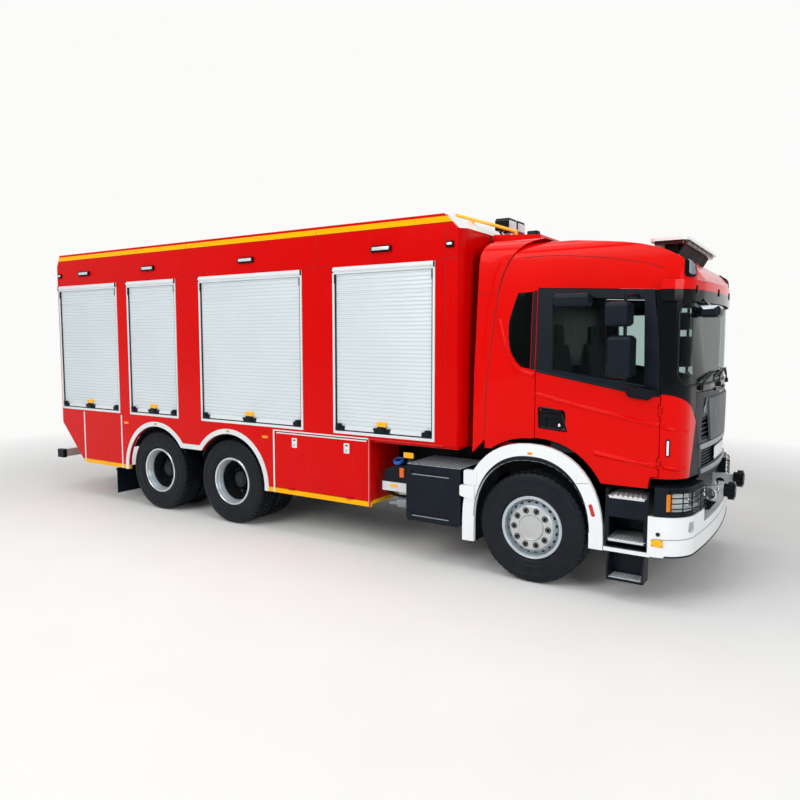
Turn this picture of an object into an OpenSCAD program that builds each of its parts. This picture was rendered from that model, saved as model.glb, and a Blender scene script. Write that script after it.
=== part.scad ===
// Airport fire truck on a three-axle chassis, in millimetres.
// X points forward, Y to the left, Z up, with the origin on the ground under the middle of the truck.
// Inside the modules x is measured from the front axle, and place() moves every node to the origin.

/* [Running gear] */
// Front axle to first rear axle
wheelbase = 3930; // [3800:10:4200]
// First to second rear axle
bogie_spacing = 1355; // [1300:5:1420]
// Tyre radius, which is also the axle height
tyre_r = 525; // [505:1:535]
// Tyre width
tyre_w = 315; // [295:1:320]
// Outer tyre face from the centre line
wheel_face = 1235; // [1215:1:1242]
// Gap between twin tyres
twin_gap = 35; // [25:1:50]
// Rim seat radius
rim_r = 286; // [276:1:292]
// Radius of the wheel bolt circle
bolt_circle_r = 167.5; // [150:0.5:175]
// Radius of front spindle
spindle_r = 38; // [30:1:44]
// Radius of rear axle tube
axle_r = 62; // [50:1:70]
// Running clearance on pins and spindles
pin_clearance = 0.3; // [0.2:0.05:0.4]

/* [Chassis] */
// Outer width over the frame rails
frame_w = 770; // [740:5:800]
// Underside of the frame rails
frame_low = 760; // [750:5:775]
// Height of the frame rails
frame_h = 270; // [250:5:280]
// Pin bore radius of the rear tow jaw
tow_pin_r = 20.5; // [16:0.5:25]

/* [Cab] */
// Cab width
cab_w = 2320; // [2260:10:2360]
// Cab nose ahead of the front axle
cab_nose = 1410; // [1390:5:1420]
// Cab back wall behind the front axle
cab_back = 520; // [490:5:530]
// Top of cab roof
cab_roof = 3225; // [3190:5:3245]
// Top of cab floor
cab_floor = 1280; // [1270:2:1290]
// Cab wall and door thickness
cab_wall = 50; // [40:1:55]
// Radius of the front cab corners
cab_corner_r = 250; // [220:5:280]
// Lower edge of windscreen
screen_low = 1890; // [1870:5:1920]
// Upper edge of windscreen
screen_top = 2610; // [2560:5:2640]
// Gap round doors and hatch
panel_gap = 7; // [6:0.5:10]

/* [Front end] */
// Bumper face ahead of the front axle
front_overhang = 1445; // [1435:5:1480]
// Bumper width
bumper_w = 2510; // [2480:5:2530]
// Underside of bumper
bumper_low = 445; // [430:5:470]
// Top of the bumper corners, where the headlamps stand
bumper_top = 790; // [770:5:810]
// Headlamp height
lamp_h = 250; // [220:5:255]
// Horns ahead of the bumper face
horn_reach = 160; // [130:5:190]
// Horns from the centre line
horn_y = 325; // [280:5:380]

/* [Body] */
// Body width
body_w = 2500; // [2480:5:2520]
// Top of body
body_top = 3500; // [3460:5:3560]
// Body front behind the front axle
body_front = 715; // [705:5:740]
// Top of body floor
body_floor = 1222; // [1215:1:1240]
// Lower edge of skirts
skirt_low = 488; // [470:2:520]
// Thickness of body walls
wall_t = 40; // [30:1:45]
// Lower edge of the shutter openings
shutter_low = 1255; // [1245:5:1290]
// Body top above the shutter openings
shutter_head = 447; // [410:5:550]
// Shutter 1 width, counted from the front
shutter_1 = 1273; // [1150:5:1300]
// Shutter 2 width
shutter_2 = 1673; // [1600:5:1700]
// Shutter 3 width
shutter_3 = 987; // [940:5:1040]
// Shutter 4 width
shutter_4 = 1358; // [1300:5:1400]
// Rear shutter width
shutter_rear = 1100; // [900:10:1160]
// Slat pitch of the shutters
slat = 41; // [36:1:50]
// Rear arch radius in the side wall
arch_r = 597; // [590:1:610]
// Front edge of the skirts behind the front axle
skirt_front = 1807; // [1790:5:1830]

/* [Mast] */
// Mast tube radius
mast_r = 42; // [35:1:46]
// Mast from the centre line, on the right
mast_y = 420; // [380:10:430]
// Length of the sliding tube
mast_len = 1450; // [1380:10:1480]

/* [Hidden] */
$fn = 48;

axle_1 = -wheelbase;
axle_2 = -wheelbase - bogie_spacing;
kingpin_y = wheel_face - 250;
rail_y = frame_w/2;
frame_top = frame_low + frame_h;
floor_low = cab_floor - 50;
cab_hw = cab_w/2;
cab_bow_r = 5000;
body_hw = body_w/2;
bumper_hw = bumper_w/2;
front_lip = bumper_top - 115;
pillar_1 = 248;
pillar_2 = 436;
pillar_3 = 431;
pillar_4 = 221;
body_corner = body_front + 60;
shutter_top = body_top - shutter_head;
guide_w = 26;
sill_h = 30;
cover_h = 75;
sh1_front = -body_corner - pillar_1;
sh1_back = sh1_front - shutter_1;
sh2_front = sh1_back - pillar_2;
sh2_back = sh2_front - shutter_2;
sh3_front = sh2_back - pillar_3;
sh3_back = sh3_front - shutter_3;
sh4_front = sh3_back - pillar_4;
sh4_back = sh4_front - shutter_4;
body_back = sh4_back - 25;
tail = body_back - 195;
ladder_rails = [-body_hw + 230, -body_hw + 570];
front_end = front_overhang + horn_reach;
origin_shift = -(front_end + tail)/2;
rear_face = wheel_face - tyre_w - twin_gap/2;
shutter_spans = [[sh1_back, sh1_front], [sh2_back, sh2_front], [sh3_back, sh3_front], [sh4_back, sh4_front]];
flap_front = -skirt_front - 25;
flap_back = axle_1 + arch_r + 165;
flap_low = skirt_low + 62;
flap_top = body_floor - 15;
step_back = 692;
step_front = 1056;
door_edge = 1112;
door_hinge = door_edge - panel_gap/2;
hatch_top = screen_low - 60 - panel_gap;
hinge_r = 13;
steer_arm = 185;
mast_x = -body_front + 118;
pedestal_top = cab_roof + 115;
pedestal_fall = 36;
pedestal_back = -body_front + 60;
pedestal_front = -150;
rail_foot = -420;
bumper_bow_r = 8000;
bumper_corner_r = 300;
bumper_corner_y = bumper_hw - bumper_corner_r;
bumper_corner_x = front_overhang - bumper_bow_r
  + sqrt(pow(bumper_bow_r - bumper_corner_r, 2) - pow(bumper_corner_y, 2));

function arc(cx, cy, r, a0, a1, n) =
  [for (i = [0:n]) [cx + r*cos(a0 + (a1 - a0)*i/n), cy + r*sin(a0 + (a1 - a0)*i/n)]];
function bow(p, q, s, n) =
  [for (i = [0:n]) let (t = i/n) (1 - t)*(1 - t)*p + 2*t*(1 - t)*q + t*t*s];
function mirrored(points) =
  concat(points, [for (i = [len(points) - 1:-1:0]) [-points[i][0], points[i][1]]]);
// Rounded arch over an axle: half an ellipse with slightly squared shoulders
function arch(cx, cz, a, b, n) =
  [for (i = [0:n]) let (t = 180*i/n, c = cos(t), s = sin(t))
    [cx + a*sign(c)*pow(abs(c), 0.9), cz + b*pow(s, 0.9)]];

// Top of the sloping mast pedestal at x
function pedestal_z(x) =
  pedestal_top - pedestal_fall*(x - pedestal_back)/(pedestal_front - pedestal_back);
// Right edge of the front hatch at gap g, from its foot up to the flare beside the windscreen base
function hatch_half(g, top) =
  concat(bow([715 - g, 1060], [760 - g, 1400], [850 - g, 1600], 8), [[850 - g, top]]);

module place() {
  translate([origin_shift, 0, 0]) children();
}

module both() {
  children();
  mirror([0, 1, 0]) children();
}

module box(a, b) {
  translate([min(a[0], b[0]), min(a[1], b[1]), min(a[2], b[2])])
    cube([abs(b[0] - a[0]), abs(b[1] - a[1]), abs(b[2] - a[2])]);
}

// A side-view outline (x, z) drawn out across y from y0 to y1
module across(y0, y1) {
  translate([0, max(y0, y1), 0]) rotate([90, 0, 0]) linear_extrude(abs(y1 - y0)) children();
}

// A front-view outline (y, z) drawn out along x from x0 to x1
module along(x0, x1) {
  translate([min(x0, x1), 0, 0]) rotate([90, 0, 90]) linear_extrude(abs(x1 - x0)) children();
}

module rod(p, q, r) {
  d = q - p;
  l = norm(d);
  translate(p) rotate([0, acos(d[2]/l), atan2(d[1], d[0])]) cylinder(h = l, r = r);
}

module rounded(w, h, r) {
  translate([-w/2 + r, -h/2]) square([w - 2*r, h]);
  translate([-w/2, -h/2 + r]) square([w, h - 2*r]);
  for (x = [-w/2 + r, w/2 - r], y = [-h/2 + r, h/2 - r])
    translate([x, y]) circle(r);
}

// A turned shape on a wheel axis: the profile gives radius and distance from the centre line
module turned(x, side) {
  translate([x, 0, tyre_r]) rotate([90*side, 0, 0]) rotate_extrude($fn = 72) children();
}

// Cab form

// Plan of the cab at inset d: straight sides, round corners and a bowed nose, all tangent
module cab_plan(d) {
  hw = cab_hw - d;
  r = cab_corner_r - d;
  yc = hw - r;
  x0 = cab_nose - d - cab_bow_r;
  xc = x0 + sqrt(pow(cab_bow_r - r, 2) - yc*yc);
  yt = cab_bow_r*yc/(cab_bow_r - r);
  translate([-cab_back - 100, -hw]) square([xc + cab_back + 100, 2*hw]);
  for (s = [-1, 1]) translate([xc, s*yc]) circle(r, $fn = 144);
  polygon(concat([[xc, -yt], [xc, yt]], arc(x0, 0, cab_bow_r, asin(yt/cab_bow_r), -asin(yt/cab_bow_r), 16)));
}

// Cross section of the cab at inset d: upright below the belt, leaning in above, crowned roof
function cab_section(d) =
  mirrored(concat(
    [[cab_hw - d, 900], [cab_hw - d, 1960]],
    arc(cab_hw - 230, cab_roof - 195, 160 - d, 4, 82, 6),
    [[500, cab_roof - 10 - d]]));

// Back edge of the cab at inset d, from the sill up and forward to the roof
function cab_rear(d) =
  concat(
    [[-cab_back + d, 900], [-cab_back + 20 + d, 1860]],
    bow([-cab_back + 107 + d, 2712], [-cab_back + 190 + d, cab_roof - 45 - d], [0, cab_roof - d], 8));

// Side view of the cab at inset d, from the back sill over the roof to the nose
function cab_side(d) =
  concat(
    cab_rear(d),
    [[300, cab_roof - 45 - d]],
    bow([600, cab_roof - 80 - d], [cab_nose - 140 - d, cab_roof - 150 - d], [cab_nose - 55 - d, cab_roof - 425], 8),
    [[cab_nose - 80 - d, 2700], [cab_nose - 25 - d, 1930], [cab_nose - d, 1790], [cab_nose - d, 900]]);

module cab_form(d) {
  intersection() {
    translate([0, 0, 900]) linear_extrude(2600) cab_plan(d);
    across(-1400, 1400) polygon(cab_side(d));
    along(-900, 1600) polygon(cab_section(d));
  }
}

module cab_skin(d0, d1) {
  difference() {
    cab_form(d0);
    cab_form(d1);
  }
}

// Door outline at inset g; the fender arch is taken off below
module door_outline(g) {
  difference() {
    polygon([[-8 + g, 1000 + g], [1022, 1000 + g], [1040, 1106 + g], [door_edge - g, 1106 + g],
      [door_edge - g, 1816], [1034 - g, 2706 - g], [-8 + g, 2756 - g]]);
    fender_arch(732 + g, 836 + g);
  }
}

module fender_arch(a, b) {
  polygon(concat([[-12 + a, 0]], arch(-12, tyre_r, a, b, 24), [[-12 - a, 0]]));
}

module above_belt() {
  polygon([[-100, 1997 + 18], [0, 1997], [802, 1855], [1200, 1796], [1200, 3000], [-100, 3000]]);
}

module door_window() {
  polygon([[134, 2668], [147, 1991 + 20], [972, 1865 + 20], [946, 2626]]);
}

module quarter_window() {
  polygon(concat([[-60, 2722]], bow([-206, 2716], [-264, 2560], [-290, 2440], 4),
    bow([-290, 2400], [-292, 2040], [-110, 2014], 8), [[-60, 2008]]));
}

module screen_hole() {
  translate([0, (screen_low + screen_top)/2]) rounded(2*(cab_hw - 62), screen_top - screen_low, 110);
}

// Front view of the dark band round the windscreen, with a flare that runs down beside the hatch
module screen_band() {
  translate([-1500, screen_low - 60]) square([3000, 2700 - screen_low + 60]);
  for (m = [0, 1]) mirror([m, 0]) polygon(concat(
    bow([850, 1600], [975, 1760], [cab_hw + 20, screen_low - 62], 8),
    [[cab_hw + 20, screen_low - 59], [850, screen_low - 59]]));
}

module doors_region(y0, y1, g) {
  across(y0, y1) door_outline(g);
}

// Plain pin hinges, drawn along z: two fixed barrels with the pin, and a moving barrel between them

module hinge_fixed() {
  for (z = [-45, 20])
    translate([0, 0, z]) cylinder(h = 25, r = hinge_r);
  translate([0, 0, -45]) cylinder(h = 90, r = hinge_r - 7);
}

module hinge_fixed_room() {
  for (z = [-51, 14])
    translate([0, 0, z]) cylinder(h = 37, r = hinge_r + 5.5);
}

module hinge_moving() {
  translate([0, 0, -15]) cylinder(h = 30, r = hinge_r);
}

module hinge_moving_room() {
  translate([0, 0, -20.5]) cylinder(h = 41, r = hinge_r + 5.5);
}

module hinge_bore() {
  translate([0, 0, -60]) cylinder(h = 120, r = hinge_r - 7 + pin_clearance);
}

module at_door_hinges() {
  for (z = [1230, 1680])
    translate([door_hinge, -cab_hw, z]) children();
}

module at_hatch_hinges() {
  for (y = [-250, 250])
    translate([cab_nose - 6, y, screen_low - 60 - panel_gap/2]) rotate([90, 0, 0]) children();
}

module at_flap_hinges() {
  for (x = [flap_back + 250, flap_front - 250])
    translate([x, -body_hw, flap_low - panel_gap/2]) rotate([0, 90, 0]) children();
}

// Chassis

module chassis_frame() {
  color([0.13, 0.14, 0.15]) place() {
    both() difference() {
      box([body_back + 30, rail_y - 80, frame_low], [1330, rail_y, frame_top]);
      box([body_back - 100, rail_y - 90, frame_low + 8], [2000, rail_y - 8, frame_top - 8]);
    }
    for (x = [body_back + 30, axle_2 - 450, (axle_1 + axle_2)/2 - 60, axle_1 + 500, -2300, -1100])
      box([x, -rail_y + 4, frame_low + 40], [x + 70, rail_y - 4, frame_top - 40]);
    both() box([body_back + 60, rail_y - 80, frame_top], [-body_corner - 20, rail_y, body_floor - 32]);
    both() for (x = [-430, 1000])
      box([x, rail_y - 80, frame_top], [x + 80, rail_y, floor_low]);
    both() for (x = [300, 900])
      box([x, 290, 880], [x + 90, rail_y - 4, 960]);
    box([1250, -690, 560], [1330, 690, bumper_top + lamp_h]);
    tow_jaw();
  }
}

module tow_jaw() {
  difference() {
    union() {
      box([body_back - 90, -60, 800], [body_back + 60, 60, 840]);
      box([body_back - 90, -60, 900], [body_back + 60, 60, 940]);
      box([body_back - 10, -60, 800], [body_back + 60, 60, 940]);
    }
    translate([body_back - 50, 0, 700]) cylinder(h = 400, r = tow_pin_r);
  }
}

module engine_block() {
  color([0.35, 0.36, 0.37]) place() {
    box([130, -290, 440], [1150, 290, floor_low - 30]);
    box([-900, -230, 650], [130, 230, 1000]);
  }
}

module front_axle() {
  color([0.16, 0.17, 0.18]) place() {
    box([-45, -kingpin_y, tyre_r - 50], [45, kingpin_y, tyre_r + 50]);
    both() {
      translate([0, -kingpin_y, tyre_r - 80]) cylinder(h = 160, r = 46);
      translate([0, -kingpin_y, tyre_r - 140]) cylinder(h = 280, r = 25);
      leaf_pack();
      for (x = [-800, 740])
        box([x, -rail_y, frame_low - 90], [x + 60, -rail_y + 80, frame_low]);
    }
  }
}

// Front spring: a bowed pack of leaves from hanger to hanger
module leaf_pack() {
  across(-rail_y, -rail_y + 80) polygon(concat(
    bow([-790, frame_low - 60], [0, tyre_r - 40], [790, frame_low - 60], 10),
    bow([790, frame_low - 84], [0, tyre_r - 85], [-790, frame_low - 84], 10)));
}

module rear_axles() {
  color([0.16, 0.17, 0.18]) place() {
    for (x = [axle_1, axle_2]) {
      translate([x, 0, tyre_r]) rotate([90, 0, 0]) cylinder(h = 2*(rear_face + 95), r = axle_r, center = true);
      translate([x, 0, tyre_r]) sphere(r = 190);
      both() box([x - 70, rail_y - 80, tyre_r], [x + 70, rail_y, frame_low]);
    }
    both() box([axle_2 - 500, rail_y - 80, tyre_r + 95], [axle_1 + 500, rail_y, tyre_r + 150]);
    rod([axle_2, 0, tyre_r + 60], [axle_1, 0, tyre_r + 60], 50);
    rod([axle_1, 0, tyre_r + 60], [-902.5, 0, 715], 50);
  }
}

module side_tanks() {
  color([0.09, 0.10, 0.11]) place() {
    difference() {
      across(-1250, -640) translate([-1041.5, 713]) rounded(631, 584, 36);
      for (z = [500, 930])
        translate([-1070, -1250, z]) rotate([90, 0, 0]) linear_extrude(24, center = true) rounded(452, 40, 18);
    }
    box([-1100, -640, 800], [-1000, -rail_y, 900]);
    box([-1720, -1150, 672], [-1357, -1110, 768]);
    box([-1720, -900, 672], [-1357, -860, 768]);
    across(-1140, -860) polygon([[-1700, 768], [-1400, 768], [-1400, 930], [-1430, 958],
      [-1560, 945], [-1680, 900], [-1700, 860]]);
    translate([-1556, -1060, 930]) rotate([20, 0, 0]) cylinder(h = 70, r = 50);
    rod([-1357, -1100, 560], [-1540, -1100, 545], 52);
    rod([-1530, -1100, 546], [-1650, -1100, 530], 22);
    difference() {
      box([-1740, 640, 425], [-726, 1240, 1005]);
      translate([-2000, 1190, 955]) difference() {
        box([0, 0, 0], [2000, 100, 100]);
        rotate([0, 90, 0]) cylinder(h = 2000, r = 50);
      }
    }
    box([-1500, rail_y, 800], [-1400, 640, 900]);
    box([-1000, rail_y, 800], [-900, 640, 900]);
  }
}

// Cab

module cab_shell() {
  color([0.86, 0.06, 0.04]) place() {
    difference() {
      union() {
        difference() {
          cab_skin(0, cab_wall);
          across(-1400, 1400) polygon([[-900, 800], [640, 800], [640, floor_low], [-900, floor_low]]);
          translate([0, 0, 800]) linear_extrude(300) square([4000, 4000], center = true);
        }
        box([-cab_back + 10, -cab_hw + 110, floor_low], [cab_nose - 180, cab_hw - 110, cab_floor]);
        both() box([-cab_back + 30, cab_hw - 120, floor_low], [cab_nose - 240, cab_hw - cab_wall - 8, 1400]);
        both() box([-cab_back + 30, cab_hw - 120, floor_low], [-20, cab_hw - 10, 1400]);
        box([cab_nose - 240, -cab_hw + 130, 1100], [cab_nose - 180, cab_hw - 130, screen_low - 60]);
      }
      both() doors_region(cab_hw - cab_wall - 7, cab_hw + 100, 0);
      both() intersection() {
        doors_region(cab_hw - 400, cab_hw + 100, 0);
        box([-900, 0, 1420], [2000, 2000, 4000]);
      }
      both() at_door_hinges() hinge_moving_room();
      both() across(cab_hw - 160, cab_hw + 100) fender_arch(732, 836);
      both() across(700, cab_hw + 100) fender_arch(626, 700);
      along(1000, 1600) screen_band();
      both() across(cab_hw - 400, cab_hw + 100) quarter_window();
      along(cab_nose - 150, 1600) polygon(mirrored(concat([[715, 1000]], hatch_half(0, screen_low - 60))));
    }
    both() at_door_hinges() hinge_fixed();
  }
}

module windscreen_frame() {
  color([0.08, 0.09, 0.10]) place() {
    at_hatch_hinges() hinge_fixed();
    difference() {
      intersection() {
        cab_skin(0, cab_wall);
        along(1000, 1600) screen_band();
      }
      both() doors_region(cab_hw - 400, cab_hw + 100, 0);
      along(1100, 1600) screen_hole();
      at_hatch_hinges() hinge_moving_room();
    }
  }
}

module cab_glass() {
  color([0.55, 0.65, 0.68, 0.5]) place() {
    intersection() {
      cab_skin(14, 22);
      along(1100, 1600) screen_hole();
    }
    intersection() {
      cab_skin(14, 22);
      both() across(cab_hw - 400, cab_hw + 100) quarter_window();
    }
  }
}

function fairing_section(d) =
  mirrored(concat([[cab_hw - d, 900], [cab_hw - d, 1960]],
    arc(cab_hw - 225, cab_roof - 155, 160 - d, 4, 84, 6), [[500, cab_roof + 16 - d]]));

// The fairing closes the gap from cab to body and carries the mast pedestal
module cab_fairing() {
  color([0.86, 0.06, 0.04]) place() {
    difference() {
      intersection() {
        difference() {
          across(-cab_hw, cab_hw) polygon(concat(cab_rear(0),
            bow([-400, cab_roof + 20], [-body_front + 100, cab_roof + 20], [-body_front + 98, 2990], 5),
            [[-body_front + 70, 1176]]));
          across(-cab_hw - 100, cab_hw + 100) polygon([[-body_front, 800], [0, 800], [0, 1500],
            [-cab_back, 1308], [-body_front + 70, 1176], [-body_front, 1176]]);
        }
        along(-900, 200) polygon(fairing_section(0));
      }
      cab_form(0);
      along(-900, 200) polygon(fairing_section(cab_wall));
      translate([mast_x, -mast_y, 900]) cylinder(h = 3000, r = mast_r + 14);
    }
    difference() {
      across(-700, 700) polygon([[pedestal_back, cab_roof - 10], [pedestal_front, cab_roof - 10],
        [pedestal_front, pedestal_top - pedestal_fall], [pedestal_back, pedestal_top]]);
      cab_form(0);
      translate([mast_x, -mast_y, 900]) cylinder(h = 3000, r = mast_r + 14);
    }
  }
}

module dashboard() {
  color([0.15, 0.16, 0.17]) place() {
    across(-cab_hw + 140, cab_hw - 140) polygon([[820, 1580], [900, 1760], [cab_nose - 240, screen_low - 70],
      [cab_nose - 240, 1300], [1000, 1300], [940, 1500]]);
    rod([900, 560, 1620], [760, 560, 1835], 30);
    translate([760, 560, 1835]) rotate([0, -48, 0]) rotate_extrude() translate([215, 0]) circle(16);
    translate([760, 560, 1835]) rotate([0, -48, 0]) for (a = [0, 120, 240]) rotate(a) box([0, -18, -8], [212, 18, 8]);
  }
}

module seats() {
  color([0.18, 0.19, 0.21]) place() {
    for (y = [-560, 560]) {
      box([130, y - 180, cab_floor], [480, y + 180, 1500]);
      across(y - 250, y + 250) polygon([[60, 1500], [560, 1500], [580, 1560], [540, 1620],
        [120, 1600], [20, 2230], [-70, 2230], [-30, 1520]]);
      across(y - 130, y + 130) polygon([[20, 2230], [10, 2420], [-60, 2420], [-70, 2230]]);
    }
    across(-280, 280) polygon([[-300, cab_floor], [80, cab_floor], [80, 1600], [-180, 1600], [-260, 2200], [-330, 2200]]);
  }
}

// Front end

module bumper_plan(d) {
  hw = bumper_hw - d;
  r = bumper_corner_r - d;
  rb = bumper_bow_r;
  yc = hw - r;
  x0 = front_overhang - d - rb;
  xc = x0 + sqrt(pow(rb - r, 2) - yc*yc);
  yt = rb*yc/(rb - r);
  translate([step_front, -hw]) square([xc - step_front, 2*hw]);
  for (s = [-1, 1]) intersection() {
    translate([xc, s*yc]) circle(r, $fn = 144);
    translate([step_front, -hw]) square([1000, 2*hw]);
  }
  polygon(concat([[xc, -yt], [xc, yt]], arc(x0, 0, rb, asin(yt/rb), -asin(yt/rb), 16)));
}

module bumper() {
  color([0.93, 0.94, 0.94]) place() {
    difference() {
      translate([0, 0, bumper_low]) linear_extrude(bumper_top - bumper_low) bumper_plan(0);
      translate([-40, 0, bumper_low - 10]) linear_extrude(1000) bumper_plan(40);
      box([900, -bumper_hw + 40, bumper_low - 10], [step_front + 60, bumper_hw - 40, 1000]);
      box([1000, -700, front_lip], [2000, 700, 1000]);
      both() fog_lamp_pocket();
      both() translate([step_front + 84, bumper_hw, 645]) rotate([90, 0, 0]) cylinder(h = 40, r = 16, center = true);
    }
    both() box([1330, 400, front_lip - 100], [front_overhang - 30, 470, front_lip - 20]);
    both() box([step_back - 8, bumper_hw - 60, bumper_low - 9], [step_front + 20, bumper_hw - 5, bumper_low + 25]);
  }
}

module fog_lamp_pocket() {
  translate([bumper_corner_x, bumper_corner_y, 695]) rotate([0, 0, 18]) translate([bumper_corner_r, 0, 0])
    rotate([0, 90, 0]) linear_extrude(60, center = true) rounded(96, 100, 30);
}

// Headlamp housings on the bumper corners, each with a deep pocket and two lamp bowls on its back wall
module headlamps() {
  color([0.08, 0.09, 0.10]) place() both() {
    difference() {
      translate([0, 0, bumper_top]) linear_extrude(lamp_h) difference() {
        intersection() {
          bumper_plan(14);
          translate([1100, 690]) square([1000, 1000]);
        }
        translate([-100, 0]) bumper_plan(100);
      }
      translate([0, 0, bumper_top + 42]) linear_extrude(lamp_h - 90) difference() {
        translate([1190, 765]) square([1000, 1000]);
        bumper_plan(76);
      }
    }
    for (y = [850, 985])
      translate([1240, y, bumper_top + 42 + (lamp_h - 90)/2]) rotate([0, 90, 0]) lamp_bowl();
  }
}

// Round bowl with an open front
module lamp_bowl() {
  difference() {
    cylinder(h = 96, r = 58);
    translate([0, 0, 66]) cylinder(h = 40, r = 48);
  }
}

// Horns on arms in front of the bumper
module horn_arms() {
  color([0.75, 0.78, 0.80]) place() {
    both() {
      difference() {
        across(horn_y - 20, horn_y + 20) polygon([[1330, 700], [1400, 700], [front_end - 70, 860],
          [front_end - 70, 940], [1330, 940]]);
        translate([1400, horn_y, 850]) rotate([90, 0, 0]) cylinder(h = 100, r = 45, center = true);
      }
      translate([front_end - 84, horn_y, 900]) rotate([0, 90, 0]) cylinder(h = 36, r = 62);
      translate([front_end - 48, horn_y, 900]) rotate([0, 90, 0]) cylinder(h = 48, r = 84);
    }
  }
}

module boarding_steps() {
  color([0.09, 0.10, 0.11]) place() both() {
    box([step_back, 850, bumper_low + 25], [step_front, 870, 985]);
    for (x = [step_back, step_front - 14])
      box([x, 850, bumper_low + 25], [x + 14, 1240, 985]);
    for (z = [520, 900])
      box([step_back, 850, z], [step_front, 1246, z + 25]);
    box([step_back, 850, bumper_low + 25], [step_front, 1240, bumper_low + 37]);
    for (x = [712, 1016])
      along(x, x + 14) polygon([[1070, 178], [1222, 178], [1246, 203], [1246, 330], [1190, 425],
        [1190, bumper_low + 30], [1090, bumper_low + 30]]);
    box([712, 1070, 178], [1030, 1240, 203]);
    box([712, 1070, 178], [1030, 1080, bumper_low + 30]);
    box([860, rail_y, 790], [940, 850, 870]);
  }
}

module step_treads() {
  color([0.78, 0.80, 0.82]) place() {
    both() {
      for (z = [545, 925])
        box([step_back + 20, 900, z], [step_front - 20, 1246, z + 5]);
      box([732, 1085, 203], [1010, 1240, 208]);
    }
    box([-1350, -1245, 1005], [-732, -660, 1011]);
    box([-1350, 660, 1005], [-732, 1190, 1011]);
  }
}

// White front fenders round the wheel arch
module front_fenders() {
  color([0.93, 0.94, 0.94]) place() both() {
    across(1215, 1256) difference() {
      fender_arch(690, 796);
      fender_arch(566, 640);
      translate([-1000, -100]) square([1000, 412]);
      translate([0, -100]) square([1000, 532]);
    }
    across(1215, 1266) translate([-618, 942]) rounded(136, 146, 24);
    across(1215, 1278) polygon([[-724, 766], [-714, 755], [-590, 724], [-568, 740],
      [-568, 856], [-584, 868], [-712, 862], [-724, 850]]);
  }
}

module mudguards() {
  color([0.07, 0.08, 0.09]) place() both() {
    across(760, 1215) difference() {
      translate([0, -12]) fender_arch(618, 696);
      translate([0, -12]) fender_arch(606, 684);
      translate([-1000, -100]) square([1000, 380]);
      translate([0, -100]) square([1000, 510]);
    }
    box([-610, rail_y, 800], [-580, 790, 860]);
    box([560, rail_y, 800], [590, 790, 860]);
    across(600, body_hw - wall_t) difference() {
      union() for (x = [axle_1, axle_2]) translate([x, tyre_r]) circle(arch_r - 4, $fn = 72);
      for (x = [axle_1, axle_2]) translate([x, tyre_r]) circle(arch_r - 16, $fn = 72);
      translate([axle_2 - 1000, -1000]) square([4000, 1800]);
    }
    for (x = [axle_1, axle_2]) box([x - 40, rail_y, tyre_r + arch_r - 30], [x + 40, 700, tyre_r + arch_r - 5]);
    for (x = [axle_1, axle_2]) box([x - 40, rail_y, frame_top - 60], [x + 40, rail_y + 60, tyre_r + arch_r - 5]);
    box([axle_2 - 910, 610, 110], [axle_2 - 896, 1230, 470]);
    box([axle_2 - 910, rail_y - 40, 430], [axle_2 - 880, 1240, 470]);
    box([axle_2 - 910, rail_y - 60, 430], [axle_2 - 880, rail_y - 20, frame_low]);
  }
}

module sun_visor() {
  color([0.62, 0.05, 0.05]) place() {
    difference() {
      translate([0, 0, screen_top - 10]) linear_extrude(180) cab_plan(-14);
      translate([0, 0, screen_top - 20]) linear_extrude(200) cab_plan(-3);
      box([-2000, -2000, 0], [1090, 2000, 4000]);
    }
    difference() {
      intersection() {
        translate([0, 0, screen_top + 110]) linear_extrude(50) cab_plan(-4);
        union() for (y = [-1000, -400, 400, 1000]) box([1090, y - 15, 0], [2000, y + 15, 4000]);
      }
      cab_form(0);
    }
    front_mirror();
  }
}

// Mirror over the right corner of the windscreen, on an arm from the visor
module front_mirror() {
  difference() {
    rod([1300, -800, screen_top + 70], [1420, -800, screen_top - 50], 10);
    translate([0, 0, screen_top - 200]) linear_extrude(400) cab_plan(-5);
  }
  translate([1420, -800, screen_top - 90]) intersection() {
    translate([0, 0, -50]) linear_extrude(100) rounded(180, 250, 60);
    along(-100, 100) rounded(250, 100, 40);
    across(-130, 130) rounded(180, 100, 40);
  }
}

module light_bar() {
  color([0.92, 0.93, 0.94]) place() {
    translate([1060, 0, cab_roof - 82]) linear_extrude(27) rounded(330, 1620, 70);
    translate([1060, 0, cab_roof - 110]) linear_extrude(30) rounded(270, 1540, 50);
    difference() {
      both() for (y = [300, 640]) box([1000, y - 25, cab_roof - 300], [1120, y + 25, cab_roof - 100]);
      cab_form(0);
    }
    // Marker lamps on the roof corners
    both() intersection() {
      cab_skin(-12, -0.3);
      along(1050, 1600) translate([cab_hw - 130, cab_roof - 340]) rounded(110, 170, 30);
    }
  }
}

// Body

module body_outline() {
  polygon([[-body_corner, body_floor], [-body_corner, body_top - 150], [-body_corner - 150, body_top],
    [body_back + 75, body_top], [body_back, body_top - 162], [body_back, 1046], [body_back + 521, skirt_low],
    [-skirt_front, skirt_low], [-skirt_front, body_floor]]);
}

module arch_holes(g) {
  for (x = [axle_1, axle_2]) translate([x, tyre_r]) circle(arch_r + g, $fn = 72);
  translate([axle_2, 0]) square([bogie_spacing, tyre_r + 350 + g]);
  for (x = [axle_1, axle_2]) translate([x - arch_r - g, 0]) square([2*arch_r + 2*g, tyre_r]);
}

module side_panel() {
  across(-body_hw, -body_hw + wall_t) difference() {
      body_outline();
      for (s = shutter_spans) translate([s[0], shutter_low]) square([s[1] - s[0], shutter_top - shutter_low]);
      arch_holes(0);
      translate([flap_back, flap_low - panel_gap]) square([flap_front - flap_back, flap_top - flap_low + 2*panel_gap]);
    }
}

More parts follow.
